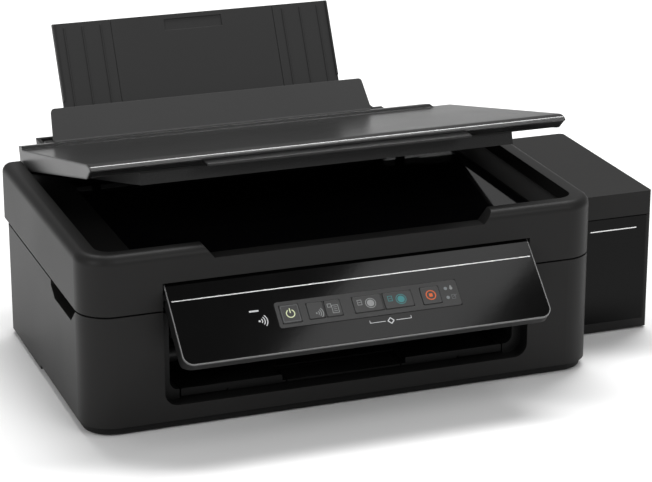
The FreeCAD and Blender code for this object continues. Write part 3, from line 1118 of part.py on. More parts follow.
def build():
    """Makes every piece."""
    centres = gear_centres()
    gears = gear_train(centres)
    shell = base_shell()
    for x, width, height in ((INLET_X, INLET_W, INLET_H), (USB_X, USB_W, USB_H)):
        shell = shell.cut(block((x - 0.2, x + width + 0.2), (BUMP_D - 6, BUMP_D + 2), (19.8, 20.2 + height)))
    keep("base_shell", shell)
    keep("bottom_plate", bottom_plate())
    keep("rubber_feet", rubber_feet())
    keep("output_bezel", output_bezel())
    keep("main_frame", main_frame(centres))
    keep("carriage_rail", carriage_rail())
    keep("motor_pulley", pulley(PULLEY_X[0]))
    keep("idler_pulley", pulley(PULLEY_X[1]))
    keep("carriage_belt", carriage_belt())
    keep("carriage_motor", carriage_motor())
    keep("ink_carriage", ink_carriage())
    keep("print_head", print_head())
    keep("ink_dampers", ink_dampers())
    keep("platen", platen())
    keep("maintenance_station", maintenance_station())
    keep("circuit_board", circuit_board())
    keep("waste_ink_pads", waste_ink_pads())
    keep("power_supply", power_supply())
    keep("usb_socket", usb_socket())
    feed_shaft = roller(FEED_ROLLER_YZ, [(34, 352)], (GEAR_X - 1, FRAME_X[1] + 4))
    exit_sleeves = [(x, x + 22) for x in (60, 140, 220, 300)]
    exit_shaft = roller(EXIT_ROLLER_YZ, exit_sleeves, (GEAR_X - 1, FRAME_X[1] + 4))
    keep("feed_roller", feed_shaft.fuse(gears["feed"]))
    keep("exit_roller", exit_shaft.fuse(gears["exit"]))
    keep("idler_gear", gears["idler"])
    keep("motor_pinion", gears["pinion"])
    keep("feed_motor", feed_motor(centres["pinion"]))
    keep("pickup_roller", pickup_roller())
    keep("feeder_housing", feeder_housing())
    keep("hopper_plate", hopper_plate())
    keep("separation_pad", separation_pad())
    keep("paper_support", paper_support())
    keep("support_extension", support_extension())
    keep("edge_guide", edge_guide())
    keep("feeder_guard", feeder_guard())
    keep("scanner_case", scanner_case())
    keep("scanner_floor", scanner_floor())
    keep("scanner_glass", scanner_glass())
    keep("scan_rail", scan_rail())
    keep("scan_bar", scan_bar())
    keep("document_cover", document_cover())
    keep("lid_inner_panel", lid_inner())
    keep("lid_mat", lid_mat())
    keep("panel_shell", panel_shell())
    keep("panel_fascia", panel_fascia())
    keep("panel_trim", panel_trim())
    keep("button_strip", button_strip())
    for name, place in BUTTONS.items():
        keep(name, button(*place))
    keep("indicator_lamps", indicator_lamps())
    keep("panel_board", panel_board())
    keep("output_tray", output_tray())
    keep("tray_extension", tray_extension())
    keep("tray_stopper", tray_stopper())
    keep("tank_case", tank_case())
    keep("tank_front", tank_front())
    keep("ink_tanks", ink_tanks())
    keep("tank_caps", tank_caps())
    keep("tank_cover", tank_cover())


build()
box = Part.makeCompound(list(PIECES.values())).BoundBox
shift = Vec(-(box.XMin + box.XMax) / 2, -(box.YMin + box.YMax) / 2, -box.ZMin)
os.makedirs("parts", exist_ok=True)
for name, shape in PIECES.items():
    shape.translate(shift)
    if not shape.isValid():
        print("not valid:", name)
    shape.exportStep("parts/" + name + ".step")
print("pieces", len(PIECES))
print("shift", [round(v, 4) for v in shift])
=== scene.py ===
"""Looks of the flatbed inkjet printer.

Materials, printed icons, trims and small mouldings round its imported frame.
"""
import json
import math

import bpy
from mathutils import Matrix, Vector


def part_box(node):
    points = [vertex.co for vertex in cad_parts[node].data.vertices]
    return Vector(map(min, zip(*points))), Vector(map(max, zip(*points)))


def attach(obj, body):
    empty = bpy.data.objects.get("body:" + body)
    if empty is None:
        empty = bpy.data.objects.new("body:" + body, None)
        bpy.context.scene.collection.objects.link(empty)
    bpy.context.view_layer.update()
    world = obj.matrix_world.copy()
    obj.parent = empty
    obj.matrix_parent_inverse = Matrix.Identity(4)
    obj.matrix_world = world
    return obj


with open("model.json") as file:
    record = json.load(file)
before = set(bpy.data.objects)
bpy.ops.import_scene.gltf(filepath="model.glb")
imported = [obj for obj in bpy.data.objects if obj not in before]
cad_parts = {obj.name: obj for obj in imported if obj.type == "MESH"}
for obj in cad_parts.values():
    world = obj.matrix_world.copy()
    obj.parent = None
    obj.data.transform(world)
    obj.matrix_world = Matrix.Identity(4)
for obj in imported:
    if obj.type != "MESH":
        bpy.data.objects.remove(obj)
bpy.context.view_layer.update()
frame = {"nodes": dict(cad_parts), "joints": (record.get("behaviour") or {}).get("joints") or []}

MM = 0.001
JOINTS = {joint["name"]: joint for joint in frame["joints"]}
PANEL_PIVOT = Vector(JOINTS["panel_hinge"]["pos_m"])
COVER_PIVOT = Vector(JOINTS["cover_hinge"]["pos_m"])
PANEL_TILT = math.radians(-48)
COVER_TILT = math.radians(-15)
GUARD_TILT = math.radians(-37.3)
SUPPORT_TILT = math.radians(-27.0)
PANEL_TOP = 4.2 * MM              # from the hinge to the panel's top edge and to its face
WHITE = (1.0, 1.0, 1.0, 1.0)
BLACK = (0, 0, 0, 1)


# ------------------------------------------------------------------ shader maths
BEVEL_SAMPLES = 4


class Wire:
    """One socket of a shader tree, with arithmetic that adds Math nodes."""

    def __init__(self, tree, socket):
        self.tree, self.socket = tree, socket

    def _math(self, operation, first, second):
        made = self.tree.nodes.new("ShaderNodeMath")
        made.operation = operation
        for slot_index, value in enumerate((first, second)):
            if isinstance(value, Wire):
                self.tree.links.new(value.socket, made.inputs[slot_index])
            else:
                made.inputs[slot_index].default_value = value
        return Wire(self.tree, made.outputs[0])

    def __add__(self, other):
        return self._math("ADD", self, other)

    def __radd__(self, other):
        return self._math("ADD", other, self)

    def __sub__(self, other):
        return self._math("SUBTRACT", self, other)

    def __mul__(self, other):
        return self._math("MULTIPLY", self, other)

    def power(self, exponent):
        return self._math("POWER", self, exponent)


class Finish:
    """A material under construction. It reads Object coordinates only."""

    def __init__(self, name):
        self.material = bpy.data.materials.new(name)
        self.material.use_nodes = True
        self.tree = self.material.node_tree
        self.tree.nodes.clear()
        self.place = self.node("ShaderNodeTexCoord", out="Object")

    def node(self, kind, settings=None, inputs=None, out=0):
        """Adds a node with its settings and inputs, and returns one of its outputs."""
        made = self.tree.nodes.new(kind)
        for key, value in (settings or {}).items():
            setattr(made, key, value)
        for key, value in (inputs or {}).items():
            if isinstance(value, Wire):
                self.tree.links.new(value.socket, made.inputs[key])
            else:
                made.inputs[key].default_value = value
        return Wire(self.tree, made.outputs[out])

    def noise(self, scale, detail, stretch=None):
        """Noise in object space; stretch scales the three axes first."""
        place = self.place
        if stretch:
            place = self.node("ShaderNodeMapping", inputs={"Vector": place, "Scale": stretch})
        return self.node("ShaderNodeTexNoise",
                         inputs={"Vector": place, "Scale": scale, "Detail": detail})

    def blend(self, amount, first, second):
        """Mix of two colours; sockets 0, 6 and 7 of a colour mix are its factor, A and B."""
        return self.node("ShaderNodeMix", {"data_type": "RGBA"},
                         {0: amount, 6: first, 7: second}, out=2)

    def surface(self, base, roughness, height, depth=0.00004, edge=0.0004, metallic=0.0, **fixed):
        """Adds the shader and returns the material.

        height drives the bump, depth is the bump's depth in metres and edge the radius that
        softens sharp corners. fixed holds plain values, its names with _ for a space.
        """
        normal = self.node("ShaderNodeBevel", {"samples": BEVEL_SAMPLES}, {"Radius": edge})
        normal = self.node("ShaderNodeBump", inputs={
            "Height": height, "Distance": depth, "Strength": 1.0, "Normal": normal})
        shader = self.node("ShaderNodeBsdfPrincipled", inputs={
            "Base Color": base, "Roughness": roughness, "Metallic": metallic, "Normal": normal})
        for key, value in fixed.items():
            shader.socket.node.inputs[key.replace("_", " ")].default_value = value
        output = self.tree.nodes.new("ShaderNodeOutputMaterial")
        self.tree.links.new(shader.socket, output.inputs["Surface"])
        return self.material


def grey(value, warmth=0.0):
    return (value * (1 + warmth), value, value * (1 - warmth), 1.0)


def opaque(colour):
    return colour + (1.0,)


def darker(colour, share):
    """The colour at a share of its strength, opaque."""
    return opaque(tuple(share * channel for channel in colour))


def moulded(name, low, high, roughness, depth=0.00006, edge=0.0005, **fixed):
    """Spark-eroded plastic: fine grain in the bump, slow drift in tone and gloss."""
    grain = 1500.0
    f = Finish(name)
    drift = f.noise(9.0, 3.0)
    fine = f.noise(grain, 3.0)
    speck = f.noise(grain * 0.35, 1.0)
    tone = drift * 0.6 + fine * 0.4
    gloss = roughness + (drift - 0.5) * 0.12 + (fine - 0.5) * 0.10
    return f.surface(f.blend(tone, low, high), gloss, fine * 0.7 + speck * 0.3, depth, edge,
                     **fixed)


def polished(name, low, high, roughness=0.06, **fixed):
    """High-gloss plastic with a faint orange peel and slightly dulled patches."""
    f = Finish(name)
    peel = f.noise(260.0, 1.0)
    smear = f.noise(14.0, 4.0)
    return f.surface(f.blend(smear, low, high), roughness + smear.power(3.0) * 0.10, peel,
                     depth=0.000004, edge=0.0005, **fixed)


def metal(name, tone, roughness, stretch, warmth=0.0):
    """Brushed metal, its strokes drawn out along one axis."""
    f = Finish(name)
    strokes = f.noise(900.0, 4.0, stretch)
    cloud = f.noise(20.0, 2.0)
    base = f.blend(strokes * 0.7 + cloud * 0.3,
                   grey(tone * 0.8, warmth), grey(tone * 1.1, warmth))
    return f.surface(base, roughness + strokes * 0.18, strokes, depth=0.00001, edge=0.0003,
                     metallic=1.0)


def glass_bed():
    """Bed glass over an unlit bay: black, polished, with a trace of dust."""
    f = Finish("bed_glass")
    dust = f.noise(700.0, 5.0)
    wipe = f.noise(7.0, 3.0, (1.0, 6.0, 1.0))
    spots = dust.power(6.0) * 0.5
    base = f.blend(spots, (0.002, 0.002, 0.0025, 1), (0.03, 0.03, 0.032, 1))
    return f.surface(base, 0.025 + wipe.power(3.0) * 0.08 + spots * 0.2, wipe,
                     depth=0.000002, edge=0.0002, Alpha=0.86, IOR=1.5)


def foam(name, low, high):
    """Open-cell foam with a faint knit."""
    f = Finish(name)
    cells = f.node("ShaderNodeTexVoronoi", inputs={"Vector": f.place, "Scale": 900.0},
                   out="Distance")
    drift = f.noise(12.0, 3.0)
    return f.surface(f.blend(cells * 0.6 + drift * 0.4, low, high), 0.85, cells, depth=0.00015)


def rubber():
    """Matt rubber, greyed in places by dust."""
    f = Finish("rubber")
    fine = f.noise(700.0, 4.0)
    dust = f.noise(60.0, 3.0)
    return f.surface(f.blend(dust, grey(0.012), grey(0.035)), 0.7 + (fine - 0.5) * 0.2, fine,
                     depth=0.00005)


def circuit():
    """Solder mask with copper tracks showing through as a lighter green."""
    f = Finish("circuit")
    tracks = f.node("ShaderNodeTexBrick", {"offset": 0.35},
                    {"Vector": f.place, "Scale": 220.0, "Mortar Size": 0.06, "Color1": BLACK,
                     "Color2": (0.2, 0.2, 0.2, 1), "Mortar": WHITE}, out="Fac")
    cloud = f.noise(40.0, 2.0)
    base = f.blend(tracks * 0.7 + cloud * 0.3, (0.006, 0.07, 0.025, 1), (0.03, 0.17, 0.07, 1))
    return f.surface(base, 0.35, tracks)


def clear_plastic():
    """See-through tank wall with a light haze."""
    f = Finish("tank_clear")
    haze = f.noise(80.0, 3.0)
    return f.surface(f.blend(haze, (0.55, 0.57, 0.6, 1), (0.75, 0.77, 0.8, 1)),
                     0.18 + haze * 0.15, haze, depth=0.00001, Alpha=0.42)


def ink(name, colour):
    """Liquid ink seen through the clear wall."""
    f = Finish(name)
    depth_tone = f.noise(25.0, 2.0)
    return f.surface(f.blend(depth_tone, darker(colour, 0.45), opaque(colour)),
                     0.12 + depth_tone * 0.1, depth_tone, depth=0.00001)


def printed(name, colour, glow=0.0):
    """Pad-printed ink of an icon or line, a little uneven."""
    f = Finish(name)
    patchy = f.noise(1200.0, 3.0)
    light = {"Emission_Color": opaque(colour), "Emission_Strength": glow} if glow else {}
    return f.surface(f.blend(patchy, darker(colour, 0.75), opaque(colour)), 0.4 + patchy * 0.2,
                     patchy, depth=0.00001, edge=0.0001, **light)


CASING = moulded("casing", grey(0.0085, 0.02), grey(0.0145, 0.02), 0.44, Specular_IOR_Level=0.16)
COVER_SKIN = moulded("cover_skin", grey(0.006), grey(0.010), 0.3, depth=0.00003, edge=0.0025,
                     Specular_IOR_Level=0.32)
INNER = moulded("inner_plastic", grey(0.004), grey(0.007), 0.55, Specular_IOR_Level=0.15)
GUARD = moulded("guard_plastic", grey(0.042), grey(0.056), 0.55, Specular_IOR_Level=0.12)
SUPPORT = moulded("support_plastic", grey(0.030), grey(0.042), 0.5, Specular_IOR_Level=0.12)
BEZEL = moulded("bezel_plastic", grey(0.004), grey(0.008), 0.38, Specular_IOR_Level=0.15)
KEYS = moulded("key_plastic", grey(0.038), grey(0.054), 0.42, depth=0.00003, edge=0.0003,
               Specular_IOR_Level=0.3)
STRIP = moulded("strip_plastic", grey(0.032), grey(0.046), 0.4, depth=0.00003, edge=0.0003,
                Specular_IOR_Level=0.3)
GLOSS = polished("gloss_black", grey(0.001), grey(0.002), Specular_IOR_Level=0.12)
COVER_EDGE = polished("cover_edge", grey(0.03), grey(0.05), roughness=0.2, Coat_Weight=0.8,
                      Coat_Roughness=0.08)
BRIGHT = metal("bright_inlay", 0.85, 0.3, (1.0, 30.0, 30.0))
TRIM = metal("satin_trim", 0.2, 0.3, (1.0, 30.0, 30.0))
STEEL = metal("steel", 0.55, 0.3, (1.0, 24.0, 24.0))
ZINC = metal("zinc_plate", 0.5, 0.38, (1.0, 1.0, 18.0), 0.01)
ACETAL = moulded("acetal", (0.55, 0.54, 0.5, 1), (0.68, 0.66, 0.61, 1), 0.4)
BLACK_BOX = moulded("housing_black", grey(0.015), grey(0.024), 0.5)
RUBBER = rubber()
FOAM = foam("mat_foam", grey(0.006), grey(0.012))
FELT = foam("ink_felt", grey(0.35), grey(0.5))
BOARD = circuit()
GLASS = glass_bed()
CLEAR = clear_plastic()
WHITE_PRINT = printed("print_white", (0.66, 0.67, 0.68))
KEY_PRINT = printed("print_grey", (0.30, 0.31, 0.31))
DIM_PRINT = printed("print_dim", (0.13, 0.135, 0.14))
TEAL_PRINT = printed("print_teal", (0.04, 0.24, 0.25))
ORANGE_PRINT = printed("print_orange", (0.75, 0.13, 0.02))
POWER_PRINT = printed("print_power", (0.62, 0.68, 0.42), glow=0.25)
LAMP = printed("lamp_lens", (0.22, 0.24, 0.25))

FINISHES = [
    (CASING, "base_shell scanner_case feeder_housing tank_case tank_cover"),
    (COVER_SKIN, "document_cover"),
    (INNER, "lid_inner_panel bottom_plate platen scanner_floor scan_bar"),
    (FOAM, "lid_mat"),
    (RUBBER, "rubber_feet maintenance_station carriage_belt pickup_roller separation_pad "
     "tank_caps"),
    (BEZEL, "output_bezel panel_shell output_tray tray_extension tray_stopper"),
    (ZINC, "main_frame usb_socket print_head"),
    (STEEL, "carriage_rail carriage_motor feed_motor feed_roller scan_rail"),
    (BOARD, "circuit_board panel_board"),
    (FELT, "waste_ink_pads"),
    (BLACK_BOX, "power_supply ink_carriage ink_dampers exit_roller"),
    (ACETAL, "motor_pulley idler_pulley idler_gear motor_pinion"),
    (SUPPORT, "hopper_plate paper_support support_extension edge_guide"),
    (GUARD, "feeder_guard"),
    (GLASS, "scanner_glass"),
    (GLOSS, "panel_fascia tank_front"),
    (TRIM, "panel_trim"),
    (STRIP, "button_strip"),
    (LAMP, "indicator_lamps"),
    (CLEAR, "ink_tanks"),
    (KEYS, "power_button wireless_button status_button mono_copy_button color_copy_button "
     "stop_button"),
]
NODE_FINISH = {node: finish for finish, nodes in FINISHES for node in nodes.split()}


def dress_nodes():
    """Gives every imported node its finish."""
    for name, node in frame["nodes"].items():
        node.data.materials.clear()
        node.data.materials.append(NODE_FINISH[name])


# ------------------------------------------------------------------ modelling
FULL_TURN = 2 * math.pi
INK_T = 0.10 * MM                 # thickness of printed ink


def start_clean():
    bpy.ops.object.select_all(action="DESELECT")


def tip(piece, pivot, angle):
    """Turns a piece's mesh about an axis along X through pivot."""
    piece.data.transform(Matrix.Translation(pivot) @ Matrix.Rotation(angle, 4, "X")
                         @ Matrix.Translation(-pivot))


def settle(name, finish, turn=None):
    """Names the active piece, applies its transform and tips it into its tilted position."""
    piece = bpy.context.object
    piece.name = piece.data.name = name
    bpy.ops.object.transform_apply(location=True, rotation=True, scale=True)
    if turn:
        tip(piece, *turn)
    piece.data.materials.clear()
    piece.data.materials.append(finish)
    return piece


def apply_modifier(kind, **settings):
    """Adds a modifier to the active piece and applies it."""
    piece = bpy.context.object
    made = piece.modifiers.new(kind.lower(), kind)
    for key, value in settings.items():
        setattr(made, key, value)
    bpy.ops.object.modifier_apply(modifier=made.name)


def slab(centre, size, rounding, tilt=0.0):
    """Bevelled bar, tilted about an axis through its centre and left active."""
    start_clean()
    bpy.ops.mesh.primitive_cube_add(size=1.0, location=(0, 0, 0), scale=size)
    bpy.ops.object.transform_apply(location=False, rotation=False, scale=True)
    apply_modifier("BEVEL", width=rounding, segments=2, limit_method="ANGLE")
    piece = bpy.context.object
    piece.data.transform(Matrix.Translation(centre) @ Matrix.Rotation(tilt, 4, "Y"))
    return piece


def drum(centre, radius, length, axis, vertices, bevel, segments):
    """Cylinder along the Z axis turned a quarter about axis, or left upright where it is None."""
    start_clean()
    bpy.ops.mesh.primitive_cylinder_add(vertices=vertices, radius=radius, depth=length,
                                        location=(0, 0, 0))
    apply_modifier("BEVEL", width=bevel, segments=segments, limit_method="ANGLE")
    piece = bpy.context.object
    turn = Matrix.Rotation(math.pi / 2, 4, axis) if axis else Matrix.Identity(4)
    piece.data.transform(Matrix.Translation(centre) @ turn)
    return piece


def merge(pieces):
    """Joins pieces into the first and leaves it active."""
    start_clean()
    for piece in pieces:
        piece.select_set(True)
    bpy.context.view_layer.objects.active = pieces[0]
    if len(pieces) > 1:
        bpy.ops.object.join()
    return bpy.context.object


def ring(centre, radius, width, start=0.0, sweep=FULL_TURN, steps=28):
    """Flat arc in the X, Z plane, spun from a small rectangle; a full turn closes into a ring."""
    start_clean()
    bpy.ops.mesh.primitive_plane_add(size=1.0, location=(0, 0, 0))
    piece = bpy.context.object
    piece.data.transform(Matrix.Translation((radius, 0, 0)) @ Matrix.Diagonal((width, INK_T, 1, 1)))
    bpy.ops.object.mode_set(mode="EDIT")
    bpy.ops.mesh.select_all(action="SELECT")
    bpy.ops.mesh.spin(steps=steps, dupli=False, angle=sweep, center=(0, 0, 0), axis=(0, 1, 0))
    bpy.ops.mesh.select_all(action="SELECT")
    bpy.ops.mesh.remove_doubles(threshold=0.000001)
    if sweep == FULL_TURN:
        bpy.ops.mesh.select_all(action="DESELECT")
        bpy.ops.mesh.select_interior_faces()
        bpy.ops.mesh.delete(type="FACE")
        bpy.ops.mesh.select_all(action="SELECT")
    bpy.ops.mesh.normals_make_consistent(inside=False)
    bpy.ops.object.mode_set(mode="OBJECT")
    piece.data.transform(Matrix.Translation(centre) @ Matrix.Rotation(start, 4, "Y"))
    return piece


def add(name, body, finish, pieces, turn=None):
    """Joins pieces into one named piece that rides on a body."""
    merge(pieces)
    piece = settle(name, finish, turn)
    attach(piece, body)
    return piece


PANEL_TURN = (PANEL_PIVOT, PANEL_TILT)
COVER_TURN = (COVER_PIVOT, COVER_TILT)


def stowed(point):
    """A point of the tilted panel, as it lies when the panel is stowed upright."""
    return PANEL_PIVOT + Matrix.Rotation(-PANEL_TILT, 3, "X") @ (Vector(point) - PANEL_PIVOT)


def middle(node):
    """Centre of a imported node's box."""
    low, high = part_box(node)
    return (Vector(low) + Vector(high)) / 2


FACE_Y = PANEL_PIVOT.y - PANEL_TOP
STRIP_Y = FACE_Y - 0.35 * MM
KEY_Y = FACE_Y - 0.9 * MM
INK_SINK = INK_T * 0.3            # what lies below the printed face


def key_face(node):
    """Centre of a key's front in the stowed position, just proud of its surface."""
    centre = stowed(middle(node))
    return Vector((centre.x, KEY_Y - INK_SINK, centre.z))


def down_face(x, s, y=FACE_Y):
    """Point on the stowed fascia, x mm from its left edge and s mm down from its top edge."""
    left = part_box("panel_fascia")[0][0]
    return Vector((left + x * MM, y - INK_SINK, PANEL_PIVOT.z + PANEL_TOP - s * MM))


def stroke(a, b, width, y):
    """Straight printed stroke in the fascia's plane from a to b, both (X, Z)."""
    length = math.hypot(b[0] - a[0], b[1] - a[1])
    tilt = -math.atan2(b[1] - a[1], b[0] - a[0])
    centre = ((a[0] + b[0]) / 2, y, (a[1] + b[1]) / 2)
    return slab(centre, (length + width * 0.6, INK_T, width), width * 0.2, tilt)


def outline(points, width, y):
    """Closed line of strokes through the points."""
    return [stroke(a, b, width, y) for a, b in zip(points, points[1:] + points[:1])]


def frame_of(centre, width, height, line):
    """Rectangular outline of an icon."""
    x, y, z = centre
    corners = [(x - width / 2, z - height / 2), (x + width / 2, z - height / 2),
               (x + width / 2, z + height / 2), (x - width / 2, z + height / 2)]
    return outline(corners, line, y)


def disc(centre, radius):
    """Printed dot that faces the front."""
    return drum(centre, radius, INK_T, "X", 28, INK_T * 0.3, 1)


def waves_over_dot(base, radii, line, dot):
    """Three quarter arcs of radio waves above a dot."""
    arcs = [ring(base, r * MM, line, math.radians(-45), math.radians(-90), 12) for r in radii]
    return arcs + [disc(base, dot)]


def on_panel(name, body, finish, pieces):
    """A printed piece laid out on the stowed panel, tipped out with it."""
    return add(name, body, finish, pieces, PANEL_TURN)


def power_icon():
    """Broken ring and stroke on the power key, inside a faint square."""
    c = key_face("power_button")
    arc = ring(c, 3.0 * MM, 0.7 * MM, math.radians(-62), math.radians(-304))
    bar = stroke((c.x, c.z + 0.6 * MM), (c.x, c.z + 3.9 * MM), 0.75 * MM, c.y)
    halo = 12.2 * MM
    on_panel("power_icon", "power_key", POWER_PRINT, [arc, bar])
    on_panel("power_halo", "power_key", DIM_PRINT,
             frame_of(c, halo, halo, 0.35 * MM))


def wireless_icon():
    """Radio waves over a dot, on the key and again beside the strip under a small lamp bar."""
    base = key_face("wireless_button") + Vector((0, 0, -2.4 * MM))
    on_panel("wireless_icon", "wireless_key", KEY_PRINT,
             waves_over_dot(base, (1.9, 3.4, 4.9), 0.55 * MM, 0.6 * MM))
    on_panel("wireless_mark", "panel", WHITE_PRINT,
             waves_over_dot(down_face(59.6, 40.6), (2.2, 4.0, 5.8), 0.7 * MM, 0.8 * MM))
    lamp = slab(down_face(57.4, 32.4), (7.0 * MM, INK_T, 1.3 * MM), 0.05 * MM)
    on_panel("wireless_lamp", "panel", WHITE_PRINT, [lamp])


def page(centre, width, height, lines):
    """Sheet outline with rows inside."""
    parts = frame_of(centre, width, height, 0.45 * MM)
    half_row = width * 0.26
    for row in range(lines):
        z = centre.z + height * (0.5 - (row + 1) / (lines + 1))
        parts.append(stroke((centre.x - half_row, z), (centre.x + half_row, z),
                            0.4 * MM, centre.y))
    return parts


def status_icon():
    """Written sheet with a small square up to its left."""
    c = key_face("status_button")
    parts = page(c + Vector((1.3 * MM, 0, -0.9 * MM)), 4.6 * MM, 6.0 * MM, 3)
    parts += frame_of(c + Vector((-2.6 * MM, 0, 2.2 * MM)), 2.6 * MM, 2.6 * MM, 0.5 * MM)
    on_panel("status_icon", "status_key", KEY_PRINT, parts)


def start_icon(node, body, finish, name):
    """Mark of a start key: a dot in a ring, with a small page up to its left."""
    c = key_face(node)
    hub = c + Vector((2.0 * MM, 0, 0))
    parts = [disc(hub, 2.7 * MM), ring(hub, 3.7 * MM, 0.5 * MM)]
    parts += page(c + Vector((-6.0 * MM, 0, 1.4 * MM)), 3.0 * MM, 3.8 * MM, 1)
    on_panel(name, body, finish, parts)


def stop_icon():
    """Filled square in a ring."""
    c = key_face("stop_button")
    square = 2.6 * MM
    parts = [ring(c, 3.5 * MM, 0.75 * MM), slab(c, (square, INK_T, square), 0.03 * MM)]
    on_panel("stop_icon", "stop_key", ORANGE_PRINT, parts)


def indicator_icons():
    """Ink drop and sheet beside the two lamps."""
    drop = down_face(204.6, 34.3, STRIP_Y)
    parts = [disc(drop + Vector((0, 0, -0.3 * MM)), 1.15 * MM)]
    parts += [stroke((drop.x + side * 0.75 * MM, drop.z), (drop.x, drop.z + 2.0 * MM),
                     0.6 * MM, drop.y) for side in (-1, 1)]
    on_panel("drop_icon", "panel", KEY_PRINT, parts)
    sheet = down_face(204.8, 41.4, STRIP_Y)
    line = 0.4 * MM
    parts = frame_of(sheet, 2.6 * MM, 3.2 * MM, line)
    parts.append(stroke((sheet.x - 0.2 * MM, sheet.z),
                        (sheet.x + 2.6 * MM, sheet.z + 1.6 * MM), line, sheet.y))
    on_panel("sheet_icon", "panel", DIM_PRINT, parts)


def bracket_icon():
    """Bracket that ties both copy keys to one start diamond."""
    c = down_face(153.6, 53.4)
    half, drop, line = 15.5 * MM, 1.9 * MM, 0.45 * MM
    parts = []
    for side in (-1, 1):
        end = (c.x + side * half, c.z)
        parts.append(stroke(end, (c.x + side * 4.2 * MM, c.z), line, c.y))
        parts.append(stroke(end, (end[0], c.z + drop), line, c.y))
    reach = 2.3 * MM
    tips = [(c.x - reach, c.z), (c.x, c.z + reach), (c.x + reach, c.z), (c.x, c.z - reach)]
    parts += outline(tips, 0.7 * MM, c.y)
    on_panel("bracket_icon", "panel", WHITE_PRINT, parts)


def panel_line():
    """Bright inlay across the fascia."""
    low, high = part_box("panel_fascia")
    centre = down_face(0.0, 17.2)
    centre.x = (low[0] + high[0]) / 2
    width = high[0] - low[0] - 3.0 * MM
    on_panel("panel_line", "panel", BRIGHT,
             [slab(centre, (width, INK_T * 1.6, 0.75 * MM), 0.05 * MM)])


def tank_line():
    """Bright inlay on the tank's glossy front."""
    low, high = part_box("tank_front")
    centre = ((low[0] + high[0]) / 2 + 8.0 * MM, low[1] - 0.05 * MM, high[2] - 9.2 * MM)
    add("tank_line", "base", BRIGHT,
        [slab(centre, (39.0 * MM, 0.2 * MM, 0.8 * MM), 0.06 * MM)])


def cover_edge():
    """Glossy rolled front edge of the cover."""
    low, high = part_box("document_cover")
    radius, end_gap = 1.9 * MM, 0.3 * MM
    front_from_hinge = -215.5 * MM
    y = COVER_PIVOT.y + front_from_hinge + 1.7 * MM
    z = COVER_PIVOT.z - 0.2 * MM
    bead = drum(((low[0] + high[0]) / 2, y, z), radius, high[0] - low[0] - 2 * end_gap, "Y",
                32, radius * 0.35, 3)
    add("cover_front_edge", "cover", COVER_EDGE, [bead], COVER_TURN)


def guard_details():
    """Pale strip at the guard's foot."""
    pivot = Vector(JOINTS["guard_hinge"]["pos_m"])
    low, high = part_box("feeder_guard")
    inner = 6.5 * MM
    strip = slab(((low[0] + high[0]) / 2, pivot.y - 2.75 * MM, pivot.z + 1.3 * MM),
                 (high[0] - low[0] - 2 * inner, 0.3 * MM, 1.5 * MM), 0.1 * MM)
    add("guard_foot_strip", "guard", KEYS, [strip], (pivot, GUARD_TILT))


def support_details():
    """Raised runners down both sides of the paper support."""
    low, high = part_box("paper_support")
    pivot = Vector(JOINTS["support_hinge"]["pos_m"])
    face = pivot.y - 1.7 * MM
    rise, half_width = 86.0 * MM, 115.5
    top = pivot.z + rise / math.cos(SUPPORT_TILT) - 2 * MM
    runners = []
    for side in (-1, 1):
        for inset in (9.0, 24.0, 39.0):
            x = side * (half_width - inset) * MM + (low[0] + high[0]) / 2
            runners.append(slab((x, face - 0.25 * MM, (top + pivot.z) / 2 + 10 * MM),
                                (1.2 * MM, 0.7 * MM, top - pivot.z - 24 * MM), 0.25 * MM))
    add("support_runners", "support", SUPPORT, runners, (pivot, SUPPORT_TILT))


def rear_vents():
    """Row of raised louvres on the rear of the base."""
    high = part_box("base_shell")[1]
    z_low, z_high = 56.0 * MM, 80.0 * MM
    count, pitch, first = 10, 4.0, 18.0
    bars = [slab((high[0] - (first + i * pitch) * MM, high[1] - 14.0 * MM, (z_low + z_high) / 2),
                 (1.8 * MM, 0.8 * MM, z_high - z_low), 0.3 * MM) for i in range(count)]
    add("rear_louvres", "base", CASING, bars)


def screw(centre):
    """Pan-head screw that faces the rear: its head, and the two bars of its cross."""
    head = drum(centre, 3.0 * MM, 1.2 * MM, "X", 24, 0.5 * MM, 3)
    x, y, z = centre
    marks = [slab((x, y + 0.55 * MM, z), (3.2 * MM, 0.25 * MM, 0.7 * MM), 0.08 * MM, tilt)
             for tilt in (math.radians(20), math.radians(110))]
    return head, marks


def rear_screws():
    """Two screws low on the rear of the base."""
    low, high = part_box("base_shell")
    inset = 22 * MM
    heads, marks = [], []
    for x in (low[0] + inset, high[0] - inset):
        head, mark = screw((x, high[1] + 0.1 * MM, 38.0 * MM))
        heads.append(head)
        marks += mark
    add("rear_screws", "base", STEEL, heads)
    add("rear_screw_crosses", "base", BLACK_BOX, marks)


def bed_ticks():
    """Size ticks on the glass surround, every second one longer."""
    low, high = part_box("scanner_glass")
    z = high[2] + 1.6 * MM
    count, pitch, first = 12, 16.0, 14.0
    ticks = []
    for i in range(count):
        y = high[1] - (first + i * pitch) * MM
        length = 5.0 * MM if i % 2 == 0 else 3.0 * MM
        ticks.append(slab((low[0] + 3.2 * MM, y, z), (length, 0.5 * MM, 0.12 * MM), 0.03 * MM))
    add("bed_ticks", "scanner", DIM_PRINT, ticks)


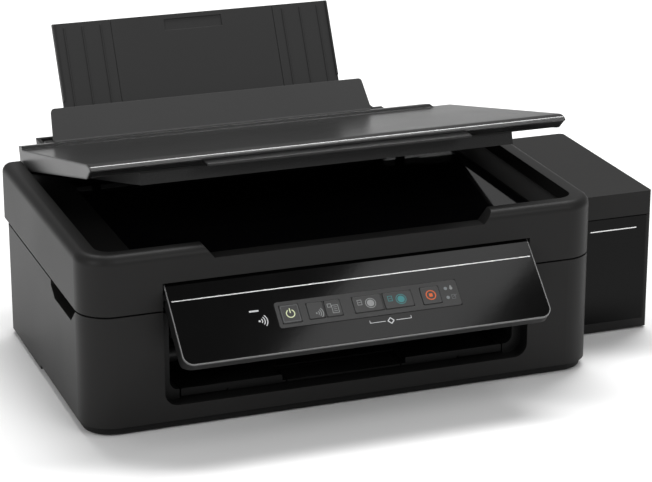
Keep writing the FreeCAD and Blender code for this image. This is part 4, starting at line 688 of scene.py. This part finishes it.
def inks():
    """Liquid in the four clear tanks, with a coloured dot on each cap."""
    fills = [("black", (0.01, 0.01, 0.012), 0.74), ("cyan", (0.0, 0.22, 0.42), 0.66),
             ("magenta", (0.42, 0.01, 0.12), 0.7), ("yellow", (0.75, 0.5, 0.01), 0.62)]
    low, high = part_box("ink_tanks")
    cap_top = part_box("tank_caps")[1][2]
    body_top = 84.0 * MM
    pitch = (high[1] - low[1] + 1.0 * MM) / len(fills)
    for i, (name, colour, level) in enumerate(fills):
        y = low[1] - 0.5 * MM + (i + 0.5) * pitch
        finish = ink("ink_" + name, colour)
        top = low[2] + (body_top - low[2]) * level
        liquid = slab(((low[0] + high[0]) / 2, y, (low[2] + top) / 2),
                      (high[0] - low[0] + 0.3 * MM, pitch - 3.0 * MM, top - low[2] - 2 * MM),
                      1.2 * MM)
        add("ink_" + name, "base", finish, [liquid])
        dot = drum((high[0] - 15.4 * MM, y, cap_top + 0.3 * MM), 5.0 * MM, 0.8 * MM, None,
                   32, 0.2 * MM, 2)
        add("cap_dot_" + name, "base", finish, [dot])


# ------------------------------------------------------------------ camera and light
WORLD_STRENGTH = 0.34


def camera():
    """Portrait lens from the left front, a little above the cover."""
    aim = Vector((0.0, 9.65 * MM, 71.04 * MM))
    azimuth, elevation, distance = math.radians(-20.2), math.radians(19.41), 1.9002
    level = math.cos(elevation)
    back = Vector((math.sin(azimuth) * level, -math.cos(azimuth) * level, math.sin(elevation)))
    data = bpy.data.cameras.new("camera")
    data.lens, data.sensor_width, data.sensor_fit = 136.04, 36.0, "HORIZONTAL"
    data.clip_start, data.clip_end = 0.05, 50.0
    made = bpy.data.objects.new("camera", data)
    made.location = aim + back * distance
    made.rotation_euler = back.to_track_quat("Z", "Y").to_euler()
    bpy.context.scene.collection.objects.link(made)
    bpy.context.scene.camera = made


def softbox(name, place, aim, size, power):
    """Rectangular lamp of a power in watts, turned to aim."""
    data = bpy.data.lights.new(name, "AREA")
    data.shape, data.size, data.size_y = "RECTANGLE", size[0], size[1]
    data.energy = power
    made = bpy.data.objects.new(name, data)
    made.location = place
    made.rotation_euler = (Vector(place) - Vector(aim)).to_track_quat("Z", "Y").to_euler()
    bpy.context.scene.collection.objects.link(made)


def studio():
    """White paper floor, a dim white world and four lamps."""
    start_clean()
    bpy.ops.mesh.primitive_plane_add(size=16.0, location=(0, 0, 0))
    floor = bpy.context.object
    floor.name = "floor"
    f = Finish("floor_paper")
    cloud = f.noise(3.0, 2.0)
    paper = f.surface(f.blend(cloud, grey(0.90), grey(0.92)), 0.8, cloud, depth=0.0001)
    floor.data.materials.append(paper)
    world = bpy.data.worlds.new("studio")
    bpy.context.scene.world = world
    world.use_nodes = True
    background = world.node_tree.nodes["Background"]
    background.inputs["Color"].default_value = WHITE
    background.inputs["Strength"].default_value = WORLD_STRENGTH
    aim = (0.0, 0.0, 0.08)
    softbox("overhead", (0.35, 0.85, 2.3), (0.0, 0.1, 0.0), (1.9, 0.6), 66.0)
    softbox("key", (-2.0, -1.0, 1.1), aim, (0.7, 1.1), 14.0)
    softbox("front_fill", (0.9, -2.8, 1.9), (0.2, -0.6, 0.0), (1.6, 0.7), 24.0)
    softbox("fascia_glow", (0.70, -0.72, 1.9), aim, (0.9, 0.2), 2.6)
    bpy.context.scene.view_settings.view_transform = "Standard"


camera()
studio()
dress_nodes()
power_icon()
wireless_icon()
status_icon()
start_icon("mono_copy_button", "mono_copy_key", KEY_PRINT, "mono_copy_icon")
start_icon("color_copy_button", "color_copy_key", TEAL_PRINT, "color_copy_icon")
stop_icon()
indicator_icons()
bracket_icon()
panel_line()
tank_line()
cover_edge()
guard_details()
support_details()
rear_vents()
rear_screws()
bed_ticks()
inks()
